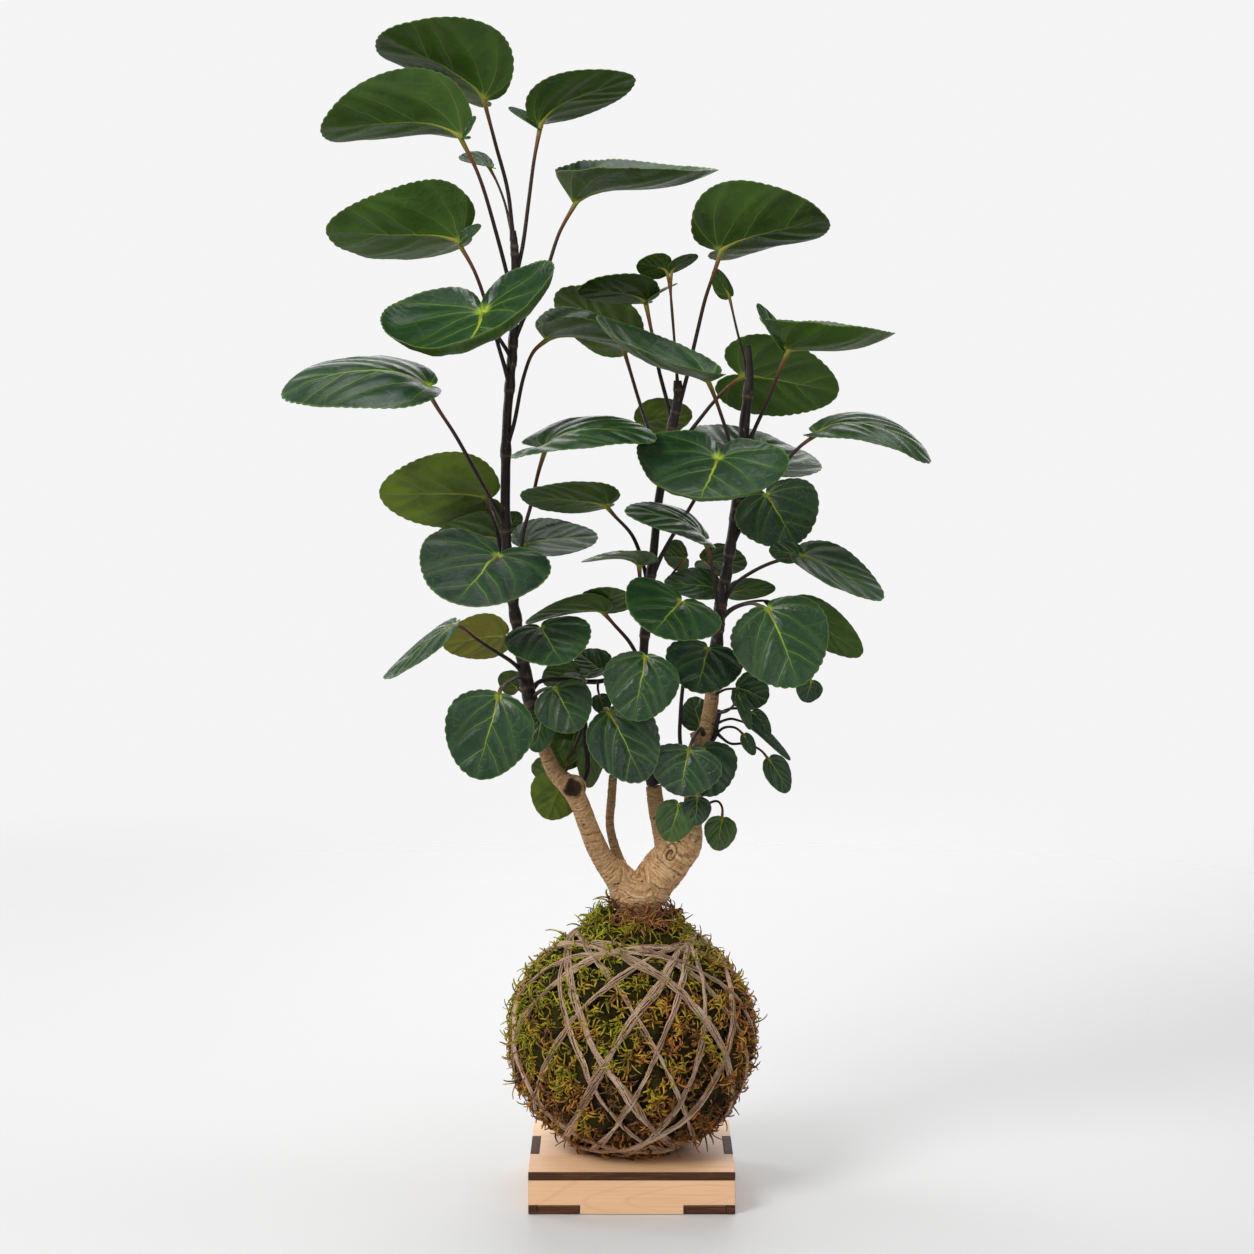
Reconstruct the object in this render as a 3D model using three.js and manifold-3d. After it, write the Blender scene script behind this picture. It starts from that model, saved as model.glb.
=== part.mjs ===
// A round-leaved house plant whose roots sit in a moss ball, on a low wooden stand.
// Millimetres, +Z up. The origin is the middle of the stand's underside, and -Y is the front.
import * as THREE from "three";
import { mergeVertices } from "three/addons/utils/BufferGeometryUtils.js";
import Module from "manifold-3d";

const wasm = await Module();
wasm.setup();

// Driving dimensions.
const GAP = 0.3; // clearance between pieces that touch
const BOARD = 5; // thickness of the stand's board
const STAND_SIDE = 120;
const STAND_HEIGHT = 25;
const FRONT_TAB = 60; // length of the front and back panels' tabs
const SIDE_TAB = 40; // length of the side panels' tabs in the top plate
const BALL_CENTRE = 91; // height of the moss ball's centre
const BALL_RADIUS = 70;
const BALL_SQUASH = 0.975; // the ball is a little lower than it is wide
const MOSS_THICKNESS = 9;
const MOSS_TUFT = 1.1; // height of the moss's tufts
const NECK_RADIUS = 19.5; // opening in the moss round the trunk
const NECK_RISE = 7; // how far the moss climbs towards the trunk
const NECK_SPREAD = 18; // degrees from the ball's top over which it climbs
const ROOT_RADIUS = 14; // trunk where it goes down into the soil
const ROOT_DEPTH = 112; // height of the trunk's lower end
const ROOT_ROOM = 4; // loose room in the soil round the trunk's lower end
const TWINE_RADIUS = 1.5;
const TWINE_TURNS = 6;
const TWINE_TILT = 60; // degrees between a turn's plane and the floor
const TWINE_OFFSET = 3.4; // from the ball's mean surface to the twine's middle
const TWIG_RADIUS = 1.6;
const BLADE = 0.9; // thickness of a leaf
const STALK_RADIUS = 1.3;
const FINE_STALK_RADIUS = 0.9;
const LEAFLET = 12; // leaves less wide than this have the fewest teeth
const LARGE_LEAF = 33; // leaves at least this wide have more teeth and a thicker stalk
const LARGEST_LEAF = 45; // leaves at least this wide have the most teeth
const CRENATION = 0.022; // depth of the leaf edge's teeth, as a part of the leaf's radius
const EGG = 0.22; // how much wider most leaves are towards their joint
const HEART = 0.36; // the blade's centre, as a part of its length from the joint
const CUP_REACH = 0.2; // how far from the joint a blade rises out of its cup, as a part of its length
const NOTCH_DEPTH = 0.85; // how far the notch behind the joint cuts in
const NOTCH_WIDTH = 22; // degrees
const EDGE_CROWDING = 1.25; // above 1, the points of a leaf's edge stand closer towards its notch
const USUAL_LEAF = { fold: 10, bend: 0, back: 0.12, cup: 0.1, egg: EGG };

// How finely the round shapes are cut.
const BALL_COLUMNS = 24;
const BALL_ROWS = 13;
const SOIL_COLUMNS = 13;
const SOIL_ROWS = 7;
const NECK_SIDES = 14;
const HOLE_SIDES = 10;
const TWINE_SIDES = 3;
const TWINE_STEPS = 22;
const STUB_SIDES = 7;
const STEM_SIDES = 6;

const radians = THREE.MathUtils.degToRad;

// ---------------------------------------------------------------- solids

function solid(geometry) {
  const bare = geometry.clone();
  bare.deleteAttribute("normal");
  bare.deleteAttribute("uv");
  const merged = mergeVertices(bare, 1e-4);
  return new wasm.Manifold(new wasm.Mesh({
    numProp: 3,
    vertProperties: new Float32Array(merged.attributes.position.array),
    triVerts: new Uint32Array(merged.index.array),
  }));
}

function geometryOf(body) {
  const mesh = body.getMesh();
  const geometry = new THREE.BufferGeometry();
  geometry.setAttribute("position", new THREE.BufferAttribute(new Float32Array(mesh.vertProperties), 3));
  geometry.setIndex(new THREE.BufferAttribute(new Uint32Array(mesh.triVerts), 1));
  geometry.computeVertexNormals();
  return geometry;
}

function join(bodies) {
  return bodies.reduce((whole, body) => whole.add(body));
}

function largestPiece(body) {
  return body.decompose().reduce((best, piece) => (piece.volume() > best.volume() ? piece : best));
}

function block(low, high) {
  const size = high.map((value, axis) => value - low[axis]);
  const geometry = new THREE.BoxGeometry(...size);
  geometry.translate(...low.map((value, axis) => value + size[axis] / 2));
  return solid(geometry);
}

function upright(radius, bottom, top, sides, x = 0) {
  const geometry = new THREE.CylinderGeometry(radius, radius, top - bottom, sides);
  geometry.rotateX(Math.PI / 2);
  geometry.translate(x, 0, (bottom + top) / 2);
  return solid(geometry);
}

function curveThrough(points) {
  const places = points.map(([x, y, z]) => new THREE.Vector3(x, y, z));
  return new THREE.CatmullRomCurve3(places, false, "centripetal");
}

// A limb is a cylinder bent along a curve. Each point is [x, y, z, radius].
function limb(points, sides, extra = 0) {
  const curve = curveThrough(points);
  const spans = points.length - 1;
  const geometry = new THREE.CylinderGeometry(1, 1, 1, sides, spans);
  const fromFront = Math.abs(curve.getTangent(0.5).y) > 0.7;
  const across = fromFront ? new THREE.Vector3(1, 0, 0) : new THREE.Vector3(0, 1, 0);
  const position = geometry.attributes.position;
  for (let i = 0; i < position.count; i += 1) {
    const t = position.getY(i) + 0.5;
    const span = Math.min(Math.floor(t * spans), spans - 1);
    const radius = THREE.MathUtils.lerp(points[span][3], points[span + 1][3], t * spans - span) + extra;
    const along = curve.getTangent(t);
    const side = new THREE.Vector3().crossVectors(across, along).normalize();
    const front = new THREE.Vector3().crossVectors(side, along).normalize();
    const place = curve.getPoint(t);
    place.addScaledVector(side, -position.getX(i) * radius);
    place.addScaledVector(front, -position.getZ(i) * radius);
    position.setXYZ(i, place.x, place.y, place.z);
  }
  return solid(geometry);
}

function tube(points, radius, sides, steps) {
  const section = new THREE.Shape();
  for (let i = 0; i < sides; i += 1) {
    const angle = (2 * Math.PI * i) / sides;
    section[i === 0 ? "moveTo" : "lineTo"](radius * Math.cos(angle), radius * Math.sin(angle));
  }
  section.closePath();
  const extrudePath = curveThrough(points);
  return solid(new THREE.ExtrudeGeometry(section, { steps, extrudePath, curveSegments: 1 }));
}

// ---------------------------------------------------------------- the stand

const HALF_SIDE = STAND_SIDE / 2;
const INNER = HALF_SIDE - BOARD;
const TOP_OF_PANELS = STAND_HEIGHT - BOARD;

function topPlate() {
  let plate = block([-HALF_SIDE, -HALF_SIDE, TOP_OF_PANELS + GAP], [HALF_SIDE, HALF_SIDE, STAND_HEIGHT]);
  for (const side of [-1, 1]) {
    const inner = side * (INNER - GAP);
    const outer = side * (HALF_SIDE + 1);
    const slot = block(
      [Math.min(inner, outer), -SIDE_TAB / 2 - GAP, TOP_OF_PANELS],
      [Math.max(inner, outer), SIDE_TAB / 2 + GAP, STAND_HEIGHT + 1],
    );
    plate = plate.subtract(slot);
  }
  return plate;
}

function bottomPlate() {
  const low = [-INNER + GAP, -HALF_SIDE, 0];
  const high = [INNER - GAP, HALF_SIDE, BOARD];
  let plate = block(low, high);
  for (const side of [-1, 1]) {
    const inner = side * (INNER - GAP);
    const outer = side * (HALF_SIDE + 1);
    const slot = block(
      [-FRONT_TAB / 2 - GAP, Math.min(inner, outer), -1],
      [FRONT_TAB / 2 + GAP, Math.max(inner, outer), BOARD + 1],
    );
    plate = plate.subtract(slot);
  }
  return plate;
}

// The front and back panels cover the stand's full width, with one tab down to the floor.
function longPanel(side) {
  const near = Math.min(side * INNER, side * HALF_SIDE);
  const far = Math.max(side * INNER, side * HALF_SIDE);
  const face = block([-HALF_SIDE, near, BOARD + GAP], [HALF_SIDE, far, TOP_OF_PANELS]);
  const tab = block([-FRONT_TAB / 2, near, 0], [FRONT_TAB / 2, far, BOARD + GAP + 1]);
  return face.add(tab);
}

// The side panels stand between them, with feet to the corners and one tab up through the top plate.
function sidePanel(side) {
  const near = Math.min(side * INNER, side * HALF_SIDE);
  const far = Math.max(side * INNER, side * HALF_SIDE);
  const face = block([near, -INNER + GAP, 0], [far, INNER - GAP, TOP_OF_PANELS]);
  const foot = block([near, -HALF_SIDE, 0], [far, HALF_SIDE, BOARD]);
  const tab = block([near, -SIDE_TAB / 2, TOP_OF_PANELS - 1], [far, SIDE_TAB / 2, STAND_HEIGHT]);
  return join([face, foot, tab]);
}

// ---------------------------------------------------------------- the moss ball

function ball(radius, columns, rows, relief = () => 0) {
  const geometry = new THREE.SphereGeometry(1, columns, rows);
  geometry.rotateX(Math.PI / 2);
  const position = geometry.attributes.position;
  const direction = new THREE.Vector3();
  for (let i = 0; i < position.count; i += 1) {
    direction.fromBufferAttribute(position, i).normalize();
    const reach = radius + relief(direction);
    position.setXYZ(
      i,
      direction.x * reach,
      direction.y * reach,
      BALL_CENTRE + direction.z * reach * BALL_SQUASH,
    );
  }
  return solid(geometry);
}

// Rows of tufts round the ball, and the rise towards the trunk.
function mossRelief(direction) {
  const turn = Math.atan2(direction.y, direction.x);
  const fade = 1 - direction.z ** 8;
  const fromTop = Math.acos(THREE.MathUtils.clamp(direction.z, -1, 1));
  const tufts = Math.sin(11 * turn + 4 * direction.z) * Math.cos(9 * fromTop + Math.sin(5 * turn));
  return MOSS_TUFT * fade * tufts + NECK_RISE * Math.exp(-((fromTop / radians(NECK_SPREAD)) ** 2));
}

const SOIL_RADIUS = BALL_RADIUS - MOSS_THICKNESS;

const TRUNK_FOOT = [4, 0, ROOT_DEPTH, ROOT_RADIUS];

// The moss is a shell with a neck for the trunk, cut flat where the ball rests on the stand.
function mossLayer() {
  const outside = ball(BALL_RADIUS, BALL_COLUMNS, BALL_ROWS, mossRelief);
  const inside = ball(SOIL_RADIUS + GAP, SOIL_COLUMNS, SOIL_ROWS);
  const above = BALL_CENTRE + 2 * BALL_RADIUS;
  const neck = upright(NECK_RADIUS, BALL_CENTRE, above, NECK_SIDES, TRUNK_FOOT[0]);
  const under = block([-BALL_RADIUS, -BALL_RADIUS, 0], [BALL_RADIUS, BALL_RADIUS, STAND_HEIGHT + GAP]);
  return outside.subtract(inside).subtract(neck).subtract(under);
}

function soilCore() {
  const radius = ROOT_RADIUS + ROOT_ROOM + GAP;
  const hole = upright(radius, ROOT_DEPTH - GAP, BALL_CENTRE + BALL_RADIUS, HOLE_SIDES, TRUNK_FOOT[0]);
  return ball(SOIL_RADIUS, SOIL_COLUMNS, SOIL_ROWS).subtract(hole);
}

function twineTurn(index) {
  const reach = BALL_RADIUS + TWINE_OFFSET;
  const geometry = new THREE.TorusGeometry(reach, TWINE_RADIUS, TWINE_SIDES, TWINE_STEPS);
  geometry.rotateX(radians(TWINE_TILT));
  geometry.rotateZ((2 * Math.PI * (index + 0.3)) / TWINE_TURNS);
  geometry.scale(1, 1, BALL_SQUASH);
  geometry.translate(0, 0, BALL_CENTRE);
  return solid(geometry);
}

function twineBinding() {
  return join(Array.from({ length: TWINE_TURNS }, (_, index) => twineTurn(index)));
}

// ---------------------------------------------------------------- the trunk and the stems

const TRUNK_LIMBS = [
  {
    sides: 10,
    points: [
      TRUNK_FOOT, [4, 0, 140, 13], [4, 0, 158, 11], [4, 0, 167, 12], [4, 0, 176, 15], [4, 0, 186, 15],
    ],
  },
  {
    sides: 8,
    points: [
      [0, 0, 177, 11], [-7, -1, 187, 9], [-16, -3, 197, 6.8], [-25, -5, 217, 6.2], [-31, -7, 233, 6],
      [-37, -8, 243, 6], [-45, -8, 251, 4.9], [-52, -8, 266, 4.2],
    ],
  },
  {
    sides: 6,
    points: [
      [-4, 3, 184, 5], [-9, 8, 200, 3.2], [-13, 13, 216, 2.8], [-12, 16, 232, 2.7], [-11, 18, 246, 2.6],
    ],
  },
  {
    sides: 8,
    points: [
      [9, 0, 177, 12], [17, -1, 190, 13], [27, -3, 201, 11.5], [33, -3, 209, 9], [35, -1, 219, 6.2],
      [37, 0, 236, 5.3], [41, 1, 257, 5], [45, 2, 278, 4.6], [48, 2, 300, 4.2],
    ],
  },
  { sides: 7, points: [[23, 1, 198, 8], [18, 5, 213, 5.6], [15, 7, 226, 5.1], [13, 8, 241, 4.8]] },
];
// A cut branch at the left limb's bend points to the front, with a hollow in its end.
const STUB = [[-35, -4, 241, 6.6], [-34, -16, 243, 6.8]];
const STUB_HOLLOW = [[-34.2, -12, 242.5, 3.8], [-34, -18, 243, 4.6]];
// A smaller cut branch leaves the right limb.
const SMALL_STUB = [[42, 1, 260, 3.4], [37, -1, 274, 3.1]];

function trunk(extra = 0) {
  const limbs = TRUNK_LIMBS.map(({ points, sides }) => limb(points, sides, extra));
  const stubs = [STUB, SMALL_STUB].map((points) => limb(points, STUB_SIDES, extra));
  return join([...limbs, ...stubs]);
}

// Each stem starts on the end of a limb of the trunk.
const STEMS = {
  stem_left: [
    [-52.4, -8, 267.2, 4.1], [-57, -6, 285, 4], [-61, -4, 299, 4], [-64, -2, 317, 3.5], [-68, 0, 340, 3.4],
    [-72, 0, 367, 3.3], [-74, 0, 394, 3.2], [-74, 0, 423, 3.1], [-73, 0, 458, 3], [-70, 0, 493, 2.8],
    [-68, 0, 528, 2.6], [-68, 0, 550, 2.4], [-69, 0, 568, 1.8],
  ],
  stem_middle: [
    [12.9, 8, 241.6, 4.6], [9, 8, 265, 4.2], [7, 8, 292, 3.5], [7, 6, 319, 3], [10, 6, 352, 2.9],
    [13, 6, 381, 2.8], [16, 6, 411, 2.8], [20, 6, 434, 2.8], [24, 6, 455, 3], [27, 6, 470, 2.8],
    [27, 6, 481, 2.2],
  ],
  stem_right: [
    [48.1, 2, 300.6, 4.1], [50, 2, 323, 3.6], [52, 2, 346, 3.4], [56, 2, 370, 3.3], [59, 2, 390, 3.3],
    [63, 2, 414, 3.3], [65, 2, 437, 3.4], [66, 2, 455, 3.6], [68, 2, 473, 3], [69, 2, 486, 2.5],
    [68, 2, 502, 1.8],
  ],
};

function stem(node, extra = 0) {
  return limb(STEMS[node], STEM_SIDES, extra);
}

// ---------------------------------------------------------------- the leaves

// joint: where the stalk meets the blade; tip: the blade's far end; face: roughly where its upper side looks;
// wide: its width. fold bends each half upwards (degrees at the edge), bend arches the blade from joint to
// tip, back is how far the lobes reach behind the joint, cup sinks the joint below the blade and egg is how
// much wider the blade is towards the joint than towards the tip.
// stalk: the stalk's way from the stem to the joint.
const LEAF_ROWS = [
  {
    node: "leaf_left_1", joint: [-85, -5, 644], tip: [-143, -32, 678], face: [0.4, 0.65, 0.65], wide: 74,
    fold: 45, back: 0.13, stalk: [[-69, 0, 562], [-72, -1, 591], [-79, -3, 618]],
  },
  {
    node: "leaf_left_2", joint: [-97, -25, 620], tip: [-177, -38, 624], face: [0, 0.6, 0.8], wide: 68,
    fold: 55, back: 0.08, cup: 0.2, egg: 0.1,
    stalk: [[-68, 0, 519], [-71, -4, 536], [-78, -12, 565], [-88, -20, 599]],
  },
  {
    node: "leaf_left_2", joint: [-97, -25, 620], tip: [-89, -28, 632], face: [-0.5, -0.8, 0.4], wide: 8,
    fold: 30,
  },
  {
    node: "leaf_left_3", joint: [-54, 12, 628], tip: [2, 2, 656], face: [-0.35, 0.5, 0.8], wide: 48,
    fold: 12, back: 0.06, cup: 0.22, stalk: [[-68, 0, 541], [-64, 3, 557], [-60, 6, 586], [-57, 9, 609]],
  },
  {
    node: "leaf_left_3", joint: [-54, 12, 628], tip: [-72, 12, 640], face: [0, -0.7, 0.8], wide: 8,
    fold: 30,
  },
  {
    node: "leaf_left_4", joint: [-34, 0, 584], tip: [50, 5, 604], face: [0, -0.12, 1], wide: 78,
    fold: 44, bend: -58, back: 0.24, cup: 0.22, egg: -0.14,
    stalk: [[-69, 0, 504], [-63, 0, 517], [-50, 0, 544], [-42, 0, 567]],
  },
  {
    node: "stem_left", joint: [-83, 15, 605], tip: [-101, 8, 610], face: [0.2, -0.4, 0.9], wide: 22,
    fold: 30, back: 0.15, stalk: [[-68, 0, 558], [-71, 5, 571], [-74, 9, 584], [-79, 13, 597]],
  },
  {
    node: "leaf_left_5", joint: [-99, -10, 561], tip: [-176, -15, 569], face: [0, 0.72, 0.7], wide: 66,
    fold: 35, bend: -40, back: 0.2, cup: 0.2,
    stalk: [[-71, 0, 478], [-77, -4, 499], [-82, -6, 517], [-91, -9, 544]],
  },
  {
    node: "leaf_left_5", joint: [-99, -10, 561], tip: [-87, -14, 571], face: [-0.3, -0.8, 0.5], wide: 9,
    fold: 30,
  },
  {
    node: "leaf_left_6", joint: [-85, -25, 520], tip: [-96, -95, 496], face: [-0.3, -0.25, 0.95], wide: 112,
    fold: 24, bend: -35, back: 0.3, stalk: [[-70, 0, 494], [-76, -8, 504], [-81, -18, 512]],
  },
  {
    node: "leaf_left_7", joint: [-116, -60, 478], tip: [-197, -75, 474], face: [0, -0.4, 0.9], wide: 74,
    fold: -24, bend: 45, back: 0.08,
    stalk: [[-74, 0, 396], [-80, -8, 408], [-89, -28, 427], [-101, -45, 451], [-110, -55, 466]],
  },
  {
    node: "leaf_left_8", joint: [-50, -40, 442], tip: [14, -60, 448], face: [0, -0.35, 0.95], wide: 52,
    fold: -10, bend: 35, back: 0.28, cup: 0.15,
    stalk: [[-69, 0, 343], [-66, -6, 370], [-63, -14, 393], [-58, -22, 411], [-54, -32, 428]],
  },
  {
    node: "leaf_left_9", joint: [-85, 25, 411], tip: [-151, 35, 413], face: [0, 0.85, 0.4], wide: 52,
    fold: 15, stalk: [[-73, 0, 365], [-77, 5, 380], [-80, 8, 395], [-84, 17, 405]],
  },
  {
    node: "stem_left", joint: [-78, 34, 386], tip: [-118, 28, 387], face: [0, 0.7, 0.7], wide: 40,
    back: 0.15, stalk: [[-73, 0, 377], [-75, 17, 383]],
  },
  {
    node: "leaf_left_10", joint: [-77, -45, 381], tip: [-99, -95, 358], face: [0.03, -0.6, 0.8], wide: 76,
    fold: 14, bend: -12, back: 0.18, stalk: [[-70, 0, 355], [-73, -15, 365], [-76, -34, 375]],
  },
  {
    node: "leaf_left_11", joint: [-65, 20, 382], tip: [-20, 26, 388], face: [0, -0.45, 0.9], wide: 44,
    back: 0.15, stalk: [[-72, 0, 367], [-70, 7, 374], [-67, 14, 379]],
  },
  {
    node: "stem_left", joint: [-75, 35, 392], tip: [-66, 38, 401], face: [0, 0.8, 0.5], wide: 15,
    stalk: [[-73, 0, 379], [-74, 16, 385], [-74, 28, 389]],
  },
  {
    node: "leaf_left_12", joint: [-104, -30, 340], tip: [-143, -40, 310], face: [-0.6, -0.2, 0.8], wide: 44,
    fold: -10, cup: 0.05,
    stalk: [[-63, -2, 309], [-71, -8, 317], [-82, -16, 325], [-92, -24, 333], [-99, -29, 339]],
  },
  {
    node: "leaf_left_13", joint: [-76, 20, 329], tip: [-113, 25, 323], face: [0, 0.9, 0.35], wide: 30,
    stalk: [[-66, 0, 318], [-71, 12, 324]],
  },
  {
    node: "leaf_left_14", joint: [-52, -45, 339], tip: [-39, -78, 323], face: [0.03, -0.7, 0.7], wide: 50,
    fold: 8, bend: -10, stalk: [[-65, 0, 321], [-61, -15, 330], [-56, -33, 337]],
  },
  {
    node: "leaf_left_15", joint: [-76, -60, 302], tip: [-89, -70, 256], face: [0, -1, 0.2], wide: 51,
    back: 0.06, stalk: [[-62, -2, 303], [-66, -14, 308], [-71, -36, 308], [-75, -54, 306]],
  },
  {
    node: "leaf_left_16", joint: [-44, -45, 305], tip: [-31, -52, 281], face: [0, -1, 0.25], wide: 34,
    back: 0.08, stalk: [[-60, -3, 293], [-55, -14, 299], [-48, -34, 304]],
  },
  {
    node: "stem_left", joint: [-68, 12, 299], tip: [-79, 15, 306], face: [0, 0.9, 0.3], wide: 16,
    stalk: [[-61, -3, 294], [-64, 8, 296]],
  },
  {
    node: "stem_left", joint: [-53, -20, 285], tip: [-56, -24, 265], face: [0, -1, 0.2], wide: 18,
    stalk: [[-57, -6, 284], [-56, -14, 287]],
  },
  {
    node: "middle_top_leaf_pair", joint: [21, 10, 545], tip: [3, 4, 549], face: [0, 0.7, 0.6], wide: 20,
    stalk: [[27, 6, 478], [25, 7, 505], [23, 9, 530]],
  },
  {
    node: "middle_top_leaf_pair", joint: [23, 10, 545], tip: [39, 14, 554], face: [0, 0.5, 0.8], wide: 14,
    stalk: [[27, 6, 478], [25, 7, 505], [23, 9, 530]],
  },
  {
    node: "leaf_middle_1", joint: [51, -5, 556], tip: [112, -30, 574], face: [0, 0.6, 0.8], wide: 74,
    fold: 50, back: 0.2, stalk: [[27, 6, 465], [31, 5, 478], [38, 2, 508], [43, -1, 529], [48, -4, 544]],
  },
  {
    node: "leaf_middle_2", joint: [9, 15, 526], tip: [-31, 2, 535], face: [0, 0.45, 0.87], wide: 38,
    fold: 12, back: 0.15, cup: 0.15, stalk: [[24, 6, 456], [21, 8, 468], [16, 10, 487], [12, 13, 508]],
  },
  {
    node: "leaf_middle_2", joint: [9, 15, 526], tip: [27, 18, 538], face: [-0.3, -0.1, 1], wide: 12, fold: 20,
  },
  {
    node: "leaf_middle_3", joint: [-5, 50, 501], tip: [-44, 38, 534], face: [0.2, 0.75, 0.6], wide: 46,
    back: 0.15, stalk: [[19, 6, 427], [11, 22, 449], [4, 38, 470], [-2, 47, 490]],
  },
  {
    node: "leaf_middle_4", joint: [-50, -10, 505], tip: [21, 0, 492], face: [0, -0.12, 1], wide: 66,
    fold: 46, bend: -10, cup: 0.15, stalk: [[-74, 0, 440], [-69, -3, 455], [-63, -7, 483], [-57, -9, 498]],
  },
  {
    node: "leaf_middle_5", joint: [45, -40, 481], tip: [-20, -60, 517], face: [0, -0.25, 0.95], wide: 68,
    fold: 37, bend: -65, egg: 0,
    stalk: [[62, 2, 402], [59, -4, 423], [57, -14, 444], [51, -28, 463], [46, -37, 476]],
  },
  {
    node: "stem_middle", joint: [6, 60, 454], tip: [37, 62, 460], face: [0, 0.85, 0.5], wide: 28,
    back: 0.15, stalk: [[20, 6, 435], [17, 30, 442], [10, 52, 449]],
  },
  {
    node: "leaf_middle_6", joint: [49, -50, 437], tip: [35, -105, 413], face: [0, -0.55, 0.8], wide: 88,
    fold: 12, bend: -30, back: 0.25, stalk: [[13, 6, 369], [21, 0, 385], [32, -10, 404], [42, -33, 423]],
  },
  {
    node: "leaf_middle_7", joint: [-14, -26, 409], tip: [-64, -38, 417], face: [0, 0.5, 0.87], wide: 42,
    fold: 8, bend: -20, back: 0.15, stalk: [[10, 6, 357], [7, 10, 372], [1, 3, 389], [-10, -18, 403]],
  },
  {
    node: "leaf_middle_8", joint: [5, -10, 373], tip: [-29, -20, 376], face: [0, 0.1, 1], wide: 36,
    fold: 25, bend: 10, back: 0.28, cup: 0.15, stalk: [[8, 6, 333], [6, -2, 350], [5, -7, 362]],
  },
  {
    node: "leaf_middle_9", joint: [-16, -10, 346], tip: [-62, -20, 341], face: [0, 0.4, 0.9], wide: 34,
    fold: 26, bend: 10, stalk: [[7, 6, 311], [-1, 0, 327], [-10, -6, 338]],
  },
  { node: "leaf_middle_9", joint: [-16, -9, 346], tip: [-11, -26, 362], face: [0, 0.7, 0.7], wide: 32 },
  {
    node: "leaf_middle_10", joint: [41, -26, 390], tip: [-4, -50, 406], face: [0, -0.5, 0.87], wide: 40,
    fold: -8, bend: 35, stalk: [[50, 2, 326], [50, -6, 350], [47, -14, 372], [44, -22, 384]],
  },
  {
    node: "stem_middle", joint: [32, 25, 375], tip: [19, 30, 376], face: [0, 0.8, 0.5], wide: 24,
    stalk: [[10, 6, 350], [17, 12, 356], [24, 19, 366]],
  },
  {
    node: "leaf_middle_11", joint: [28, -50, 355], tip: [11, -85, 340], face: [0.12, -0.75, 0.65], wide: 58,
    fold: 10, bend: -10, back: 0.15,
    stalk: [[37, 1, 238], [29, 12, 265], [29, 10, 283], [30, 2, 299], [32, -14, 321], [30, -36, 343]],
  },
  {
    node: "leaf_middle_12", joint: [8, -50, 324], tip: [1, -60, 288], face: [0, -1, 0.2], wide: 43,
    back: 0.06, stalk: [[7, 8, 295], [7, -12, 309], [8, -36, 319]],
  },
  {
    node: "leaf_middle_13", joint: [-13, -42, 291], tip: [7, -52, 252], face: [0.1, -1, 0.2], wide: 42,
    back: 0.06, stalk: [[-11, 18, 244], [-12, 2, 266], [-16, -20, 287], [-15, -34, 292]],
  },
  {
    node: "stem_right", joint: [57, 6, 531], tip: [48, 4, 546], face: [-0.5, 0.5, 0.4], wide: 12,
    fold: 40, back: 0.15, stalk: [[68, 2, 475], [66, 4, 492], [61, 6, 513]],
  },
  {
    node: "leaf_right_1", joint: [90, -10, 499], tip: [153, -5, 509], face: [0, -0.04, 1], wide: 76,
    fold: 50, bend: -60, back: 0.46, egg: -0.22,
    stalk: [[65, 2, 433], [70, 0, 448], [80, -4, 471], [86, -8, 487]],
  },
  {
    node: "leaf_right_1", joint: [89, -9, 500], tip: [73, -4, 526], face: [0.3, -0.9, 0.3], wide: 9,
    fold: 30,
  },
  {
    node: "leaf_right_2", joint: [67, 50, 483], tip: [125, 62, 473], face: [0, 0.9, 0.35], wide: 52,
    back: 0.3, stalk: [[20, 6, 435], [33, 18, 449], [50, 36, 469], [61, 47, 479]],
  },
  {
    node: "leaf_right_3", joint: [109, -15, 451], tip: [172, -30, 434], face: [0, -0.3, 0.95], wide: 46,
    fold: -10, bend: 65, stalk: [[62, 2, 409], [71, 0, 418], [84, -6, 428], [98, -12, 443]],
  },
  {
    node: "leaf_right_4", joint: [70, 22, 428], tip: [80, 66, 448], face: [0.2, -0.5, 0.85], wide: 80,
    back: 0.2, stalk: [[63, 2, 414], [67, 12, 421]],
  },
  {
    node: "leaf_right_5", joint: [79, 0, 414], tip: [96, -16, 386], face: [0.1, -0.95, 0.35], wide: 52,
    fold: 14, bend: -12, back: 0.14, stalk: [[58, 2, 381], [64, 1, 394], [71, 0, 404]],
  },
  {
    node: "leaf_right_6", joint: [98, -30, 380], tip: [144, -45, 356], face: [0.4, -0.5, 0.77], wide: 42,
    fold: 10, stalk: [[52, 2, 346], [60, -4, 361], [69, -12, 369], [84, -24, 377]],
  },
  { node: "leaf_right_6", joint: [97, -28, 380], tip: [80, -18, 384], face: [0, -0.9, 0.4], wide: 14 },
  {
    node: "stem_right", joint: [59, 20, 355], tip: [86, 25, 357], face: [0, 0.8, 0.5], wide: 16,
    stalk: [[53, 2, 350], [56, 12, 353]],
  },
  {
    node: "stem_right", joint: [43, 30, 373], tip: [69, 40, 369], face: [0, 0.7, 0.6], wide: 28,
    back: 0.15, stalk: [[55, 2, 366], [50, 16, 369]],
  },
  {
    node: "stem_right", joint: [50, 18, 357], tip: [19, 12, 361], face: [0, -0.6, 0.8], wide: 28,
    stalk: [[53, 2, 352], [52, 10, 354]],
  },
  {
    node: "leaf_right_7", joint: [78, -45, 351], tip: [96, -60, 308], face: [0, -1, 0.3], wide: 57,
    fold: 12, back: 0.08, stalk: [[50, 2, 337], [58, -10, 347], [66, -24, 352], [72, -38, 353]],
  },
  {
    node: "leaf_right_8", joint: [96, 10, 346], tip: [137, 15, 318], face: [-0.3, 0.8, 0.5], wide: 27,
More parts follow.
